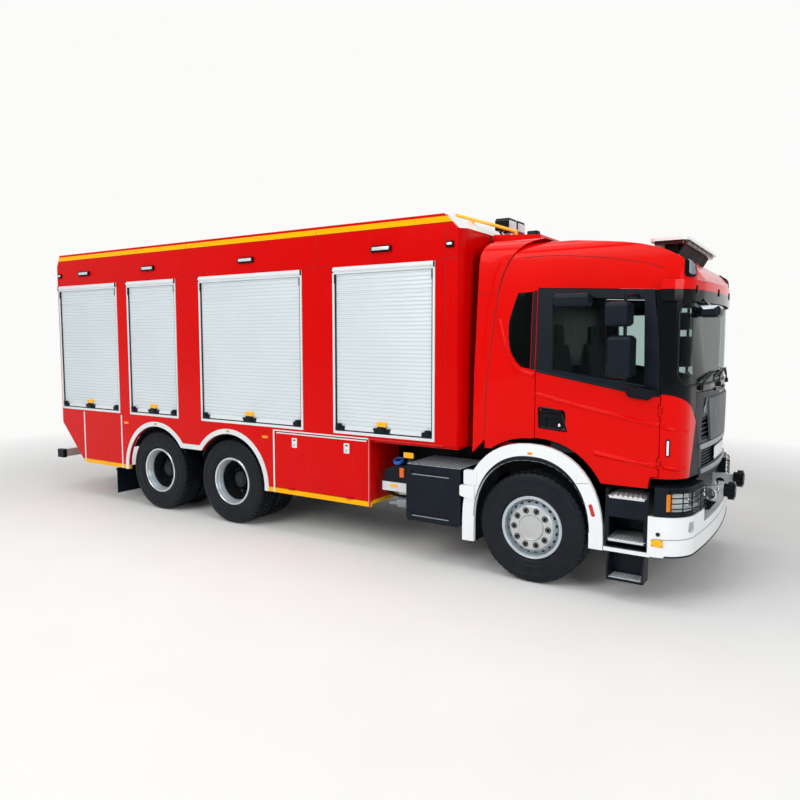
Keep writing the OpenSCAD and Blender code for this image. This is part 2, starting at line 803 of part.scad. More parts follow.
module side_wall() {
  difference() {
    side_panel();
    at_flap_hinges() hinge_moving_room();
  }
  at_flap_hinges() hinge_fixed();
}

module body_sides() {
  color([0.85, 0.02, 0.02]) place() both() side_wall();
}

module body_ends() {
  color([0.85, 0.02, 0.02]) place() {
    translate([0, 0, body_floor]) linear_extrude(body_top - 150 - body_floor) polygon([[-body_corner, -body_hw],
      [-body_front, -body_hw + 100], [-body_front, body_hw - 100], [-body_corner, body_hw]]);
    difference() {
      box([body_back, -body_hw + wall_t, 1046], [body_back + wall_t, body_hw - wall_t, body_top - 162]);
      box([body_back - 100, -shutter_rear/2, shutter_low], [body_back + 100, shutter_rear/2, shutter_top]);
    }
    both() across(600, body_hw - wall_t) polygon([[body_back, 1046], [body_back + 521, skirt_low],
      [body_back + 565, skirt_low], [body_back + 44, 1046]]);
  }
}

module body_roof() {
  color([0.80, 0.82, 0.83]) place() {
    across(-body_hw + wall_t, body_hw - wall_t) polygon([[-body_corner, body_top - 150], [-body_corner - 150, body_top],
      [body_back + 75, body_top], [body_back, body_top - 162], [body_back + 44, body_top - 162],
      [body_back + 101, body_top - 40], [-body_corner - 167, body_top - 40], [-body_corner - 57, body_top - 150]]);
  }
}

// Floor and the step lockers under it
module body_floor_pan() {
  color([0.55, 0.57, 0.58]) place() {
    box([body_back + wall_t, -body_hw + wall_t, body_floor - 32], [-body_corner, body_hw - wall_t, body_floor]);
    both() {
      box([flap_back, 640, skirt_low + 12], [flap_front, body_hw - wall_t, skirt_low + 30]);
      box([flap_back, 640, skirt_low + 12], [flap_front, 658, body_floor - 32]);
      for (x = [flap_back, flap_front - 18])
        box([x, 640, skirt_low + 12], [x + 18, body_hw - wall_t, body_floor - 32]);
      box([(flap_back + flap_front)/2 - 50, rail_y, 850], [(flap_back + flap_front)/2 + 50, 640, 950]);
    }
  }
}

// Slatted curtain seen from its edge: flat slats with a groove at every joint
function slats(z0, z1, y0, y1) =
  let (n = floor((z1 - z0)/slat), p = (z1 - z0)/n)
  concat([[y0, z0]], [for (i = [0:n - 1], k = [0:2])
    [y1 - (k == 0 ? 5 : 0), z0 + i*p + (k == 0 ? 0 : k == 1 ? 5 : p - 5)]], [[y1 - 5, z1], [y0, z1]]);

module shutters() {
  color([0.84, 0.88, 0.90]) place() {
    both() for (s = shutter_spans)
      along(s[0] + guide_w, s[1] - guide_w)
        polygon(slats(shutter_low + sill_h, shutter_top - cover_h, body_hw - 32, body_hw - 12));
    across(-shutter_rear/2 + guide_w, shutter_rear/2 - guide_w)
      polygon([for (p = slats(shutter_low + sill_h, shutter_top - cover_h, 0, 20)) [body_back + 32 - p[0], p[1]]]);
  }
}

module frame_ring(w, h) {
  difference() {
    square([w, h]);
    translate([guide_w, sill_h]) square([w - 2*guide_w, h - sill_h - cover_h]);
  }
}

module arch_trim() {
  difference() {
    arch_holes(62);
    arch_holes(0);
    translate([axle_2 - 2000, -1000]) square([6000, skirt_low + 1000]);
  }
}

module body_trims() {
  color([0.88, 0.90, 0.91]) place() {
    both() {
      for (s = shutter_spans)
        across(body_hw - wall_t, body_hw + 8) translate([s[0], shutter_low])
          frame_ring(s[1] - s[0], shutter_top - shutter_low);
      across(body_hw, body_hw + 12) arch_trim();
      for (x = [-skirt_front - 22, axle_1 + arch_r + 140, axle_2 - arch_r - 150, body_back + 535])
        box([x, body_hw, skirt_low], [x + 22, body_hw + 8, body_floor + 10]);
      box([flap_back - 10, body_hw, body_floor - 4], [-body_corner - 150, body_hw + 14, body_floor + 10]);
    }
    translate([body_back + 42, -shutter_rear/2, shutter_low]) rotate([90, 0, -90])
      linear_extrude(50) translate([-shutter_rear, 0]) frame_ring(shutter_rear, shutter_top - shutter_low);
  }
}

module underrun_bar() {
  color([0.74, 0.77, 0.79]) place() {
    box([tail, -body_hw + 70, 500], [tail + 110, body_hw - 70, 614]);
    both() {
      box([tail, body_hw - 70, 495], [tail + 150, body_hw - 10, 620]);
      box([tail + 110, rail_y - 80, 520], [body_back + 30, rail_y, 600]);
      box([body_back - 10, rail_y - 80, 520], [body_back + 30, rail_y, frame_top - 20]);
    }
  }
}

module rear_ladder() {
  color([0.78, 0.80, 0.82]) place() {
    for (y = ladder_rails)
      box([body_back - 75, y - 20, shutter_low - 155], [body_back - 45, y + 20, body_top - 40]);
    for (i = [0:7])
      let (z = shutter_low - 55 + i*(body_top - shutter_low - 215)/7)
        rod([body_back - 60, ladder_rails[0], z], [body_back - 60, ladder_rails[1], z], 14);
    for (y = ladder_rails, z = [shutter_low - 105, (shutter_low + body_top)/2 - 178, body_top - 300])
      box([body_back - 60, y - 15, z], [body_back, y + 15, z + 30]);
  }
}

// Yellow grab rails from the body roof, past its front edge and down to the pedestal
module roof_rails() {
  post = -body_corner - 313;
  knee = -body_front + 20;
  points = [[post, 675, body_top], [post, 675, body_top + 78],
    [knee, 675, max(body_top - 50, pedestal_top + 60)],
    [rail_foot, 675, pedestal_z(rail_foot) + 32], [rail_foot, 675, pedestal_z(rail_foot) + 1.5]];
  color([1, 0.76, 0.06]) place() both() {
    for (i = [0:3]) rod(points[i], points[i + 1], 17);
    for (i = [1:3]) translate(points[i]) sphere(r = 20);
  }
}

module body_lamps() {
  color([0.75, 0.78, 0.80]) place() both() {
    for (x = [-1658, -3580, -5357, -6757])
      box([x - 120, body_hw, body_top - 324], [x + 120, body_hw + 24, body_top - 260]);
    for (x = [-857, body_back + 75])
      box([x - 40, body_hw, body_top - 330], [x + 40, body_hw + 20, body_top - 270]);
    for (x = [axle_1 + 612, axle_2 - 623])
      box([x - 45, body_hw, 1118], [x + 45, body_hw + 12, 1148]);
    for (z = [1080, 1200, 1320])
      box([body_back - 30, body_hw - 180, z], [body_back, body_hw - 70, z + 105]);
  }
}

// Light mast

module mast_tube() {
  color([0.70, 0.72, 0.74]) place() {
    difference() {
      translate([mast_x, -mast_y, 1800]) cylinder(h = pedestal_top + 10 - 1800, r = mast_r + 13.7);
      translate([mast_x, -mast_y, 1820]) cylinder(h = 3000, r = mast_r + pin_clearance);
    }
  }
}

module mast_head() {
  color([0.30, 0.31, 0.33]) place() {
    translate([mast_x, -mast_y, pedestal_top + 40 - mast_len]) cylinder(h = mast_len, r = mast_r);
    translate([mast_x, -mast_y, pedestal_top + 40]) cylinder(h = 60, r = 70);
    for (y = [-112, 112])
      translate([mast_x, -mast_y + y, pedestal_top + 105]) rotate([0, 90, 0])
        linear_extrude(150, center = true) rounded(110, 205, 20);
    box([mast_x - 40, -mast_y - 60, pedestal_top + 60], [mast_x + 40, -mast_y + 60, pedestal_top + 110]);
  }
}

// Doors

module door_solid() {
  intersection() {
    cab_skin(0, cab_wall);
    doors_region(-cab_hw - 100, -cab_hw + 400, panel_gap);
  }
}

module door_panel() {
  difference() {
    union() {
      door_solid();
      at_door_hinges() hinge_moving();
    }
    at_door_hinges() hinge_fixed_room();
    at_door_hinges() hinge_bore();
    across(-2000, 2000) above_belt();
    translate([165, -cab_hw - 30, 1552]) rotate([90, 0, 0]) linear_extrude(100, center = true) rounded(250, 180, 40);
  }
  box([45, -cab_hw + 20, 1470], [285, -cab_hw + 40, 1640]);
  box([70, -cab_hw, 1580], [260, -cab_hw + 30, 1610]);
}

module door_frame() {
  difference() {
    intersection() {
      door_solid();
      across(-2000, 2000) above_belt();
    }
    across(-2000, 2000) door_window();
  }
  mirrors();
}

// Mirror group on the door frame: two housings on one post, and a kerb mirror above the window
module mirrors() {
  rod([890, -cab_hw + 70, 2660], [860, -1390, 2640], 15);
  rod([960, -cab_hw + 20, 1852], [860, -1390, 1905], 18);
  rod([860, -1390, 1890], [860, -1390, 2655], 15);
  translate([836, -1390, 2138]) mirror_housing(180, 220, 356, 42);
  translate([810, -1390, 2490]) mirror_housing(180, 220, 204, 42);
  translate([360, -1232, 2624]) mirror_housing(310, 140, 128, 44);
  box([330, -1190, 2668], [390, -cab_hw + 85, 2698]);
}

// Housing rounded in front view and in side view
module mirror_housing(l, w, h, r) {
  intersection() {
    along(-l/2, l/2) rounded(w, h, r);
    across(-w/2, w/2) rounded(l, h, r);
  }
}

module door_pane() {
  intersection() {
    cab_skin(14, 22);
    across(-cab_hw - 100, -cab_hw + 400) door_window();
  }
}

module door_right() {
  color([0.86, 0.06, 0.04]) place() door_panel();
}

module door_left() {
  color([0.86, 0.06, 0.04]) place() mirror([0, 1, 0]) door_panel();
}

module door_frame_right() {
  color([0.08, 0.09, 0.10]) place() door_frame();
}

module door_frame_left() {
  color([0.08, 0.09, 0.10]) place() mirror([0, 1, 0]) door_frame();
}

module door_glass_right() {
  color([0.55, 0.65, 0.68, 0.5]) place() door_pane();
}

module door_glass_left() {
  color([0.55, 0.65, 0.68, 0.5]) place() mirror([0, 1, 0]) door_pane();
}

// Front hatch with the grille, hinged under the windscreen
module grille_hatch() {
  color([0.10, 0.11, 0.12]) place() {
    difference() {
      union() {
        hatch_skin(0, 40) polygon(mirrored(hatch_half(panel_gap, hatch_top)));
        at_hatch_hinges() hinge_moving();
      }
      at_hatch_hinges() hinge_fixed_room();
      at_hatch_hinges() hinge_bore();
      difference() {
        along(1000, 1600) union() {
          translate([0, 1495]) rounded(1380, 200, 30);
          translate([0, 1228]) rounded(1330, 150, 20);
        }
        cab_form(26);
      }
    }
    // Grille slats, the two bright bars and the blank panel over them
    hatch_skin(4, 30) for (z = [1410, 1452, 1494, 1536, 1578]) translate([0, z]) square([1400, 10], center = true);
    hatch_skin(10, 30) for (z = [1172, 1200, 1228, 1256, 1284]) translate([0, z]) square([1350, 8], center = true);
    hatch_skin(-14, 20) translate([0, 1338]) rounded(1470, 46, 16);
    hatch_skin(-14, 20) translate([0, 1118]) rounded(1390, 44, 16);
    hatch_skin(-8, 20) translate([0, 1690]) rounded(1240, 150, 40);
  }
}

// A front-view outline cut from the cab form between two insets
module hatch_skin(d0, d1) {
  intersection() {
    cab_skin(d0, d1);
    along(1000, 1600) children();
  }
}

module flap() {
  difference() {
    union() {
      box([flap_back + panel_gap, -body_hw, flap_low], [flap_front - panel_gap, -body_hw + 35, flap_top]);
      at_flap_hinges() hinge_moving();
    }
    at_flap_hinges() hinge_fixed_room();
    at_flap_hinges() hinge_bore();
    for (x = [-2867, -2122])
      translate([x, -body_hw, flap_top - 110]) rotate([90, 0, 0]) cylinder(h = 20, r = 40, center = true);
  }
}

module step_flap_right() {
  color([0.85, 0.02, 0.02]) place() flap();
}

module step_flap_left() {
  color([0.85, 0.02, 0.02]) place() mirror([0, 1, 0]) flap();
}

// Steering

module knuckle() {
  difference() {
    union() {
      for (z = [tyre_r + 86, tyre_r - 126]) {
        translate([0, -kingpin_y, z]) cylinder(h = 40, r = 52);
        box([-52, -kingpin_y - 85, z], [52, -kingpin_y, z + 40]);
      }
      box([-60, -kingpin_y - 85, tyre_r - 126], [60, -kingpin_y - 56, tyre_r + 126]);
      translate([0, -kingpin_y - 80, tyre_r]) rotate([90, 0, 0]) cylinder(h = 125, r = spindle_r);
      box([-steer_arm - 22, -kingpin_y - 20, tyre_r - 126], [0, -kingpin_y + 20, tyre_r - 100]);
    }
    translate([0, -kingpin_y, tyre_r - 200]) cylinder(h = 400, r = 25 + pin_clearance);
    translate([-steer_arm, -kingpin_y, tyre_r - 200]) cylinder(h = 400, r = 12);
  }
}

module knuckle_right() {
  color([0.20, 0.21, 0.22]) place() knuckle();
}

module knuckle_left() {
  color([0.20, 0.21, 0.22]) place() mirror([0, 1, 0]) knuckle();
}

// Track rod behind the axle, with an upright pin in each knuckle arm
module tie_rod() {
  color([0.20, 0.21, 0.22]) place() {
    rod([-steer_arm, -kingpin_y, tyre_r - 73], [-steer_arm, kingpin_y, tyre_r - 73], 18);
    both() translate([-steer_arm, kingpin_y, tyre_r - 124]) cylinder(h = 51, r = 12 - pin_clearance);
  }
}

// Wheels

module tyre_profile(face) {
  m = face - tyre_w/2;
  h = tyre_w/2;
  polygon(concat(
    [[rim_r + 0.3, m - h + 38], [rim_r + 14, m - h + 37], [rim_r + 32, m - h + 10]],
    [[tyre_r - 120, m - h], [tyre_r - 62, m - h + 2], [tyre_r - 24, m - h + 12], [tyre_r - 7, m - h + 30]],
    [for (g = [-0.28, -0.1, 0.1, 0.28], k = [0:3])
      [tyre_r - (k == 1 || k == 2 ? 14 : 0), m + g*tyre_w + (k < 2 ? -5 : 5)]],
    [[tyre_r - 7, m + h - 30], [tyre_r - 24, m + h - 12], [tyre_r - 62, m + h - 2], [tyre_r - 120, m + h]],
    [[rim_r + 32, m + h - 10], [rim_r + 14, m + h - 37], [rim_r + 0.3, m + h - 38]]));
}

module barrel_profile(face) {
  m = face - tyre_w/2;
  h = tyre_w/2;
  polygon([[rim_r, m - h + 37], [rim_r + 12, m - h + 36], [rim_r + 12, m - h + 24], [rim_r - 16, m - h + 24],
    [rim_r - 22, m - h + 60], [rim_r - 22, m + h - 60], [rim_r - 16, m + h - 24], [rim_r + 12, m + h - 24],
    [rim_r + 12, m + h - 36], [rim_r, m + h - 37]]);
}

module front_rim(side) {
  difference() {
    union() {
      turned(0, side) {
        barrel_profile(wheel_face);
        translate([0, wheel_face - 100]) square([rim_r - 10, 14]);
        translate([0, wheel_face - 150]) square([125, 90]);
        polygon([[0, wheel_face - 62], [112, wheel_face - 62], [96, wheel_face - 18], [0, wheel_face - 10]]);
        translate([spindle_r + pin_clearance, kingpin_y + 92]) square([60, wheel_face - 62 - kingpin_y - 92]);
        translate([130, kingpin_y + 92]) square([80, wheel_face - 92 - kingpin_y - 92]);
      }
      translate([0, 0, tyre_r]) rotate([90*side, 0, 0]) for (i = [0:9]) rotate(36*i)
        translate([bolt_circle_r, 0, wheel_face - 90]) cylinder(h = 44, r = 16);
    }
    translate([0, 0, tyre_r]) rotate([90*side, 0, 0]) for (i = [0:9]) rotate(36*i + 18)
      translate([rim_r - 55, 0, wheel_face - 110]) cylinder(h = 60, r = 18);
    translate([0, 0, tyre_r]) rotate([90*side, 0, 0]) translate([0, 0, kingpin_y])
      cylinder(h = 210, r = spindle_r + pin_clearance);
  }
}

module rear_rims(x, side) {
  difference() {
    union() {
      turned(x, side) {
        barrel_profile(wheel_face);
        barrel_profile(wheel_face - tyre_w - twin_gap);
        translate([rim_r - 24, rear_face - 60]) square([12, 120]);
        translate([0, rear_face - 13]) square([rim_r - 14, 26]);
        translate([0, rear_face - 100]) square([130, 150]);
        polygon([[0, rear_face], [118, rear_face], [118, rear_face + 120], [96, rear_face + 165], [0, rear_face + 172]]);
        translate([axle_r + 8, rear_face - 250]) square([125, 200]);
      }
      translate([x, 0, tyre_r]) rotate([90*side, 0, 0]) for (i = [0:9]) rotate(36*i)
        translate([bolt_circle_r, 0, rear_face]) cylinder(h = 52, r = 16);
    }
    translate([x, 0, tyre_r]) rotate([90*side, 0, 0]) for (i = [0:9]) rotate(36*i + 18)
      translate([rim_r - 55, 0, rear_face - 40]) cylinder(h = 80, r = 22);
    translate([x, 0, tyre_r]) rotate([90*side, 0, 0]) translate([0, 0, rear_face - 400])
      cylinder(h = 500, r = axle_r + pin_clearance);
  }
}

module rear_tyres(x, side) {
  turned(x, side) {
    tyre_profile(wheel_face);
    tyre_profile(wheel_face - tyre_w - twin_gap);
  }
}

module front_rim_right() {
  color([0.74, 0.78, 0.81]) place() front_rim(1);
}

module front_tyre_right() {
  color([0.06, 0.06, 0.07]) place() turned(0, 1) tyre_profile(wheel_face);
}

module front_rim_left() {
  color([0.74, 0.78, 0.81]) place() front_rim(-1);
}

module front_tyre_left() {
  color([0.06, 0.06, 0.07]) place() turned(0, -1) tyre_profile(wheel_face);
}

module rear1_rims_right() {
  color([0.74, 0.78, 0.81]) place() rear_rims(axle_1, 1);
}

module rear1_tyres_right() {
  color([0.06, 0.06, 0.07]) place() rear_tyres(axle_1, 1);
}

module rear1_rims_left() {
  color([0.74, 0.78, 0.81]) place() rear_rims(axle_1, -1);
}

module rear1_tyres_left() {
  color([0.06, 0.06, 0.07]) place() rear_tyres(axle_1, -1);
}

module rear2_rims_right() {
  color([0.74, 0.78, 0.81]) place() rear_rims(axle_2, 1);
}

module rear2_tyres_right() {
  color([0.06, 0.06, 0.07]) place() rear_tyres(axle_2, 1);
}

module rear2_rims_left() {
  color([0.74, 0.78, 0.81]) place() rear_rims(axle_2, -1);
}

module rear2_tyres_left() {
  color([0.06, 0.06, 0.07]) place() rear_tyres(axle_2, -1);
}

chassis_frame();
engine_block();
front_axle();
rear_axles();
side_tanks();
cab_shell();
windscreen_frame();
cab_glass();
cab_fairing();
dashboard();
seats();
bumper();
headlamps();
horn_arms();
boarding_steps();
step_treads();
front_fenders();
mudguards();
sun_visor();
light_bar();
body_sides();
body_ends();
body_roof();
body_floor_pan();
shutters();
body_trims();
underrun_bar();
rear_ladder();
roof_rails();
body_lamps();
mast_tube();
mast_head();
door_right();
door_left();
door_frame_right();
door_frame_left();
door_glass_right();
door_glass_left();
grille_hatch();
step_flap_right();
step_flap_left();
knuckle_right();
knuckle_left();
tie_rod();
front_rim_right();
front_tyre_right();
front_rim_left();
front_tyre_left();
rear1_rims_right();
rear1_tyres_right();
rear1_rims_left();
rear1_tyres_left();
rear2_rims_right();
rear2_tyres_right();
rear2_rims_left();
rear2_tyres_left();
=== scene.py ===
# %% [markdown]
# # Airport fire truck: looks on a CAD frame
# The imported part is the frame. This script dresses it with materials, adds the small pieces that the CAD
# leaves out, and looks at it from where the photographer stood.

# %% Load the frame
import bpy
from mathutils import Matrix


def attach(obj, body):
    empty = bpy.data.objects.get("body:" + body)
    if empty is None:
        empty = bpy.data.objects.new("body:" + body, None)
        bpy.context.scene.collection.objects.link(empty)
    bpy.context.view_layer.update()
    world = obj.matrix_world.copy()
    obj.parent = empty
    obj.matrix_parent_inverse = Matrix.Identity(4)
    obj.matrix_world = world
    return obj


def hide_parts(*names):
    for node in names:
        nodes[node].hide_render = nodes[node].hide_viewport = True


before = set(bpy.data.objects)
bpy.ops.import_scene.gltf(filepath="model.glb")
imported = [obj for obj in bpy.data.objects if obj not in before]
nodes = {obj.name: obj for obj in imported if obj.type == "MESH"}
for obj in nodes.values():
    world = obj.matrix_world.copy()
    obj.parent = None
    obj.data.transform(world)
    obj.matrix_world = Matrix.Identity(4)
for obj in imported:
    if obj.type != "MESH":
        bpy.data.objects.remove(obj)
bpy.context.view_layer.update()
import math
import bpy
import numpy as np
from mathutils import Vector
from mathutils.bvhtree import BVHTree

# %% [markdown]
# ## Materials
# Every material is a node graph over object coordinates, which are metres in the frame, so a pattern's
# scale is one over its real size. One function adds a shader node with its settings and links.

# %% Shader helpers


def srgb(code):
    """Linear colour of an sRGB hex code."""
    c = np.array([int(code[i:i + 2], 16) for i in (1, 3, 5)]) / 255
    return (*np.where(c <= 0.04045, c / 12.92, ((c + 0.055) / 1.055) ** 2.4), 1.0)


def add(tree, kind, inputs=None, **settings):
    """Adds a shader node. An input given as a socket is linked, and any other value is set."""
    node = tree.nodes.new("ShaderNode" + kind)
    for key, value in settings.items():
        setattr(node, key, value)
    for key, value in (inputs or {}).items():
        if isinstance(value, bpy.types.NodeSocket):
            tree.links.new(value, node.inputs[key])
        else:
            node.inputs[key].default_value = value
    return node


def start(name):
    """A new empty material with object coordinates: material, tree, coordinates and their x, y, z."""
    made = bpy.data.materials.new(name)
    made.use_nodes = True
    tree = made.node_tree
    tree.nodes.clear()
    at = add(tree, "TexCoord").outputs["Object"]
    return made, tree, at, add(tree, "SeparateXYZ", {0: at}).outputs


def noise(tree, at, size_mm, detail=3, rough=0.55, stretch=(1, 1, 1)):
    """Noise from 0 to 1 with features of about size_mm, drawn out along an axis by stretch."""
    scaled = add(tree, "Mapping", {"Vector": at, "Scale": stretch}).outputs[0]
    settings = {"Vector": scaled, "Scale": 1000 / size_mm, "Detail": detail, "Roughness": rough}
    return add(tree, "TexNoise", settings).outputs[0]


def ramp(tree, value, low, high, to_low=0.0, to_high=1.0):
    """Maps value from low..high to to_low..to_high, clamped."""
    return add(tree, "MapRange", {0: value, 1: low, 2: high, 3: to_low, 4: to_high}).outputs[0]


def mix(tree, factor, a, b):
    """Mixes two colours."""
    return add(tree, "Mix", {0: factor, 6: a, 7: b}, data_type="RGBA").outputs[2]


def calc(tree, operation, a, b=0.0):
    """One step of arithmetic on two numbers."""
    return add(tree, "Math", {0: a, 1: b}, operation=operation).outputs[0]


print("shader helpers ready")

# %% [markdown]
# Two functions cover all finishes. Paint, plastic, metal and rubber are one principled shader whose colour
# and roughness wander slowly, as no real panel is even, with fine grain as bump and grey road dust low
# down. Glass mixes a clear path with a mirror, which is lighter to render than refraction and enough for
# thin sheets.

# %% Surfaces and glass
STREAK_MM = 120
DUST, DUST_LOW_M, DUST_TOP_M = "#8A8A84", 0.15, 1.5
BUMP_M = 0.001


def surface(name, colour, rough=0.4, metal=0.0, coat=0.0, grain_mm=0.0, grain=0.1, mottle=0.06,
            mottle_mm=400, dust=0.0, stretch=(1, 1, 1), tint=None, height=None, spec=0.5, extra=None):
    """A painted, moulded or rolled surface: slow mottling, rough patches, fine grain, and dust low down.
    tint(tree, at, xyz, colour) may return a patterned colour, and height a bump pattern in millimetres."""
    made, tree, at, xyz = start(name)
    slow = noise(tree, at, mottle_mm, 4)
    base = tint(tree, at, xyz, srgb(colour)) if tint else srgb(colour)
    value = ramp(tree, slow, 0.3, 0.7, 1 - mottle, 1 + mottle)
    out = add(tree, "HueSaturation", {"Color": base, "Value": value}).outputs[0]
    streak = noise(tree, at, STREAK_MM, 5, 0.65, (1, 1, 0.35))
    if dust:
        low = ramp(tree, xyz[2], DUST_LOW_M, DUST_TOP_M, dust, dust * 0.06)
        out = mix(tree, calc(tree, "MULTIPLY", low, ramp(tree, streak, 0.35, 0.75)), out, srgb(DUST))
    roughness = ramp(tree, streak, 0.3, 0.75, rough * 0.85, min(1.0, rough * 1.25))
    sockets = {"Base Color": out, "Roughness": roughness, "Metallic": metal, "Coat Weight": coat,
               "Coat Roughness": 0.04, "Specular IOR Level": spec}
    if grain_mm:
        fine = noise(tree, at, grain_mm, 2, 0.5, stretch)
        bump = add(tree, "Bump", {"Height": fine, "Strength": grain, "Distance": BUMP_M})
        sockets["Normal"] = bump.outputs[0]
    if height:
        pattern = {"Height": height(tree, at, xyz), "Strength": 1.0, "Distance": BUMP_M}
        if grain_mm:
            pattern["Normal"] = sockets["Normal"]
        sockets["Normal"] = add(tree, "Bump", pattern).outputs[0]
    sockets.update(extra or {})
    add(tree, "OutputMaterial", {"Surface": add(tree, "BsdfPrincipled", sockets).outputs[0]})
    return made


def glass(name, colour, through, clear, most):
    """Sheet glass: straight on, a share called clear of the light goes through, tinted. At low angles it
    mirrors more, up to the share called most."""
    made, tree, at, _ = start(name)
    smear = ramp(tree, noise(tree, at, 300, 3, 0.5, (1, 1, 0.4)), 0.3, 0.7, 0.02, 0.05)
    sheet = add(tree, "BsdfPrincipled", {
        "Base Color": srgb(colour), "Roughness": smear, "Specular IOR Level": 0.7})
    sight = add(tree, "BsdfTransparent", {"Color": srgb(through)})
    edge = add(tree, "LayerWeight", {"Blend": 0.35}).outputs["Facing"]
    share = ramp(tree, edge, 0.0, 1.0, 1 - clear, most)
    pane = add(tree, "MixShader", {0: share, 1: sight.outputs[0], 2: sheet.outputs[0]})
    add(tree, "OutputMaterial", {"Surface": pane.outputs[0]})
    return made


print("surface and glass ready")

# %% [markdown]
# The body paint is fire red with a yellow band under the roof edge and a yellow strip along the skirt. Both
# are painted by height, as is the visor, which is red above and smoked below. Tread plate gets lozenges
# that alternate in direction from cell to cell. Shutter slats get painted shade towards each joint.

# %% Patterns
YELLOW, LINE = "#FFB703", "#7A0507"
BAND_M, SKIRT_M = (3.415, 3.472), (0.0, 0.543)
SLAT_M, SLAT_LOW_M = 0.041, 1.315
CELLS_PER_M = 38.5


def band(tree, z, low, high):
    """One from low to high in metres, nought elsewhere, with an edge of 1 mm."""
    below = ramp(tree, z, high, high + 0.001, 1.0, 0.0)
    return calc(tree, "MULTIPLY", ramp(tree, z, low, low + 0.001), below)


def body_bands(tree, at, xyz, colour):
    """Fire red with a yellow band and a yellow skirt, and a thin dark line at each inner edge."""
    out = mix(tree, band(tree, xyz[2], 3.409, 3.416), colour, srgb(LINE))
    out = mix(tree, band(tree, xyz[2], 0.540, 0.548), out, srgb(LINE))
    out = mix(tree, band(tree, xyz[2], *BAND_M), out, srgb(YELLOW))
    return mix(tree, band(tree, xyz[2], *SKIRT_M), out, srgb(YELLOW))


def smoked_below(tree, at, xyz, colour):
    """The given red above 2.7 m and smoked black below it."""
    return mix(tree, ramp(tree, xyz[2], 2.699, 2.701, 1.0, 0.0), colour, srgb("#080A0D"))


def slat_painted_shade(tree, at, xyz, colour):
    """Painted shade on shutter slats: each is pale at its crown and greyer towards the joint below it, where
    shade falls.
    """
    turn = calc(tree, "FRACT", calc(tree, "DIVIDE", calc(tree, "SUBTRACT", xyz[2], SLAT_LOW_M), SLAT_M))
    joint = calc(tree, "ABSOLUTE", calc(tree, "SUBTRACT", turn, 0.5))
    return mix(tree, ramp(tree, joint, 0.36, 0.49), colour, srgb("#B4C1C8"))


def red_ahead(tree, at, xyz, colour):
    """Pale trim, but body red on the sill ahead of the step flap, which is below 1.24 m."""
    low = ramp(tree, xyz[2], 1.239, 1.240, 1.0, 0.0)
    ahead = calc(tree, "MULTIPLY", ramp(tree, xyz[0], 1.183, 1.184), low)
    return mix(tree, ahead, colour, srgb("#CE0203"))


def lozenges(tree, at, xyz):
    """Tread plate: raised bars of 24 by 6 mm, turned by a right angle from each 26 mm cell to the next."""
    turned = {"Vector": at, "Rotation": (0, 0, math.pi / 4), "Scale": (CELLS_PER_M,) * 3}
    scaled = add(tree, "Mapping", turned).outputs[0]
    cell = add(tree, "VectorMath", {0: scaled}, operation="FLOOR").outputs[0]
    inside = add(tree, "VectorMath", {0: scaled, 1: cell}, operation="SUBTRACT").outputs[0]
    part = add(tree, "SeparateXYZ", {0: inside}).outputs
    where = add(tree, "SeparateXYZ", {0: cell}).outputs
    odd = calc(tree, "ABSOLUTE", calc(tree, "MODULO", calc(tree, "ADD", where[0], where[1]), 2.0))
    u = calc(tree, "ABSOLUTE", calc(tree, "SUBTRACT", part[0], 0.5))
    v = calc(tree, "ABSOLUTE", calc(tree, "SUBTRACT", part[1], 0.5))
    bars = []
    for a, b in ((u, v), (v, u)):
        across = ramp(tree, a, 0.07, 0.13, 1.0, 0.0)
        ends = ramp(tree, b, 0.36, 0.44, 1.0, 0.0)
        bars.append(calc(tree, "MULTIPLY", across, ends))
    one = calc(tree, "MULTIPLY", bars[0], odd)
    two = calc(tree, "MULTIPLY", bars[1], calc(tree, "SUBTRACT", 1.0, odd))
    return calc(tree, "MULTIPLY", calc(tree, "ADD", one, two), 1.6)


print("patterns: bands, visor, slats, sill, tread plate")

# %% [markdown]
# Each finish is named for the real material and how its surface was made, and a comment says what that
# gives the eye. Grain is the ripple of sprayed paint, the texture of a mould or the line of a rolling mill.
# Plastic grain and weave are really finer than a millimetre, so they are drawn 1 to 2 mm coarse to show at
# all.

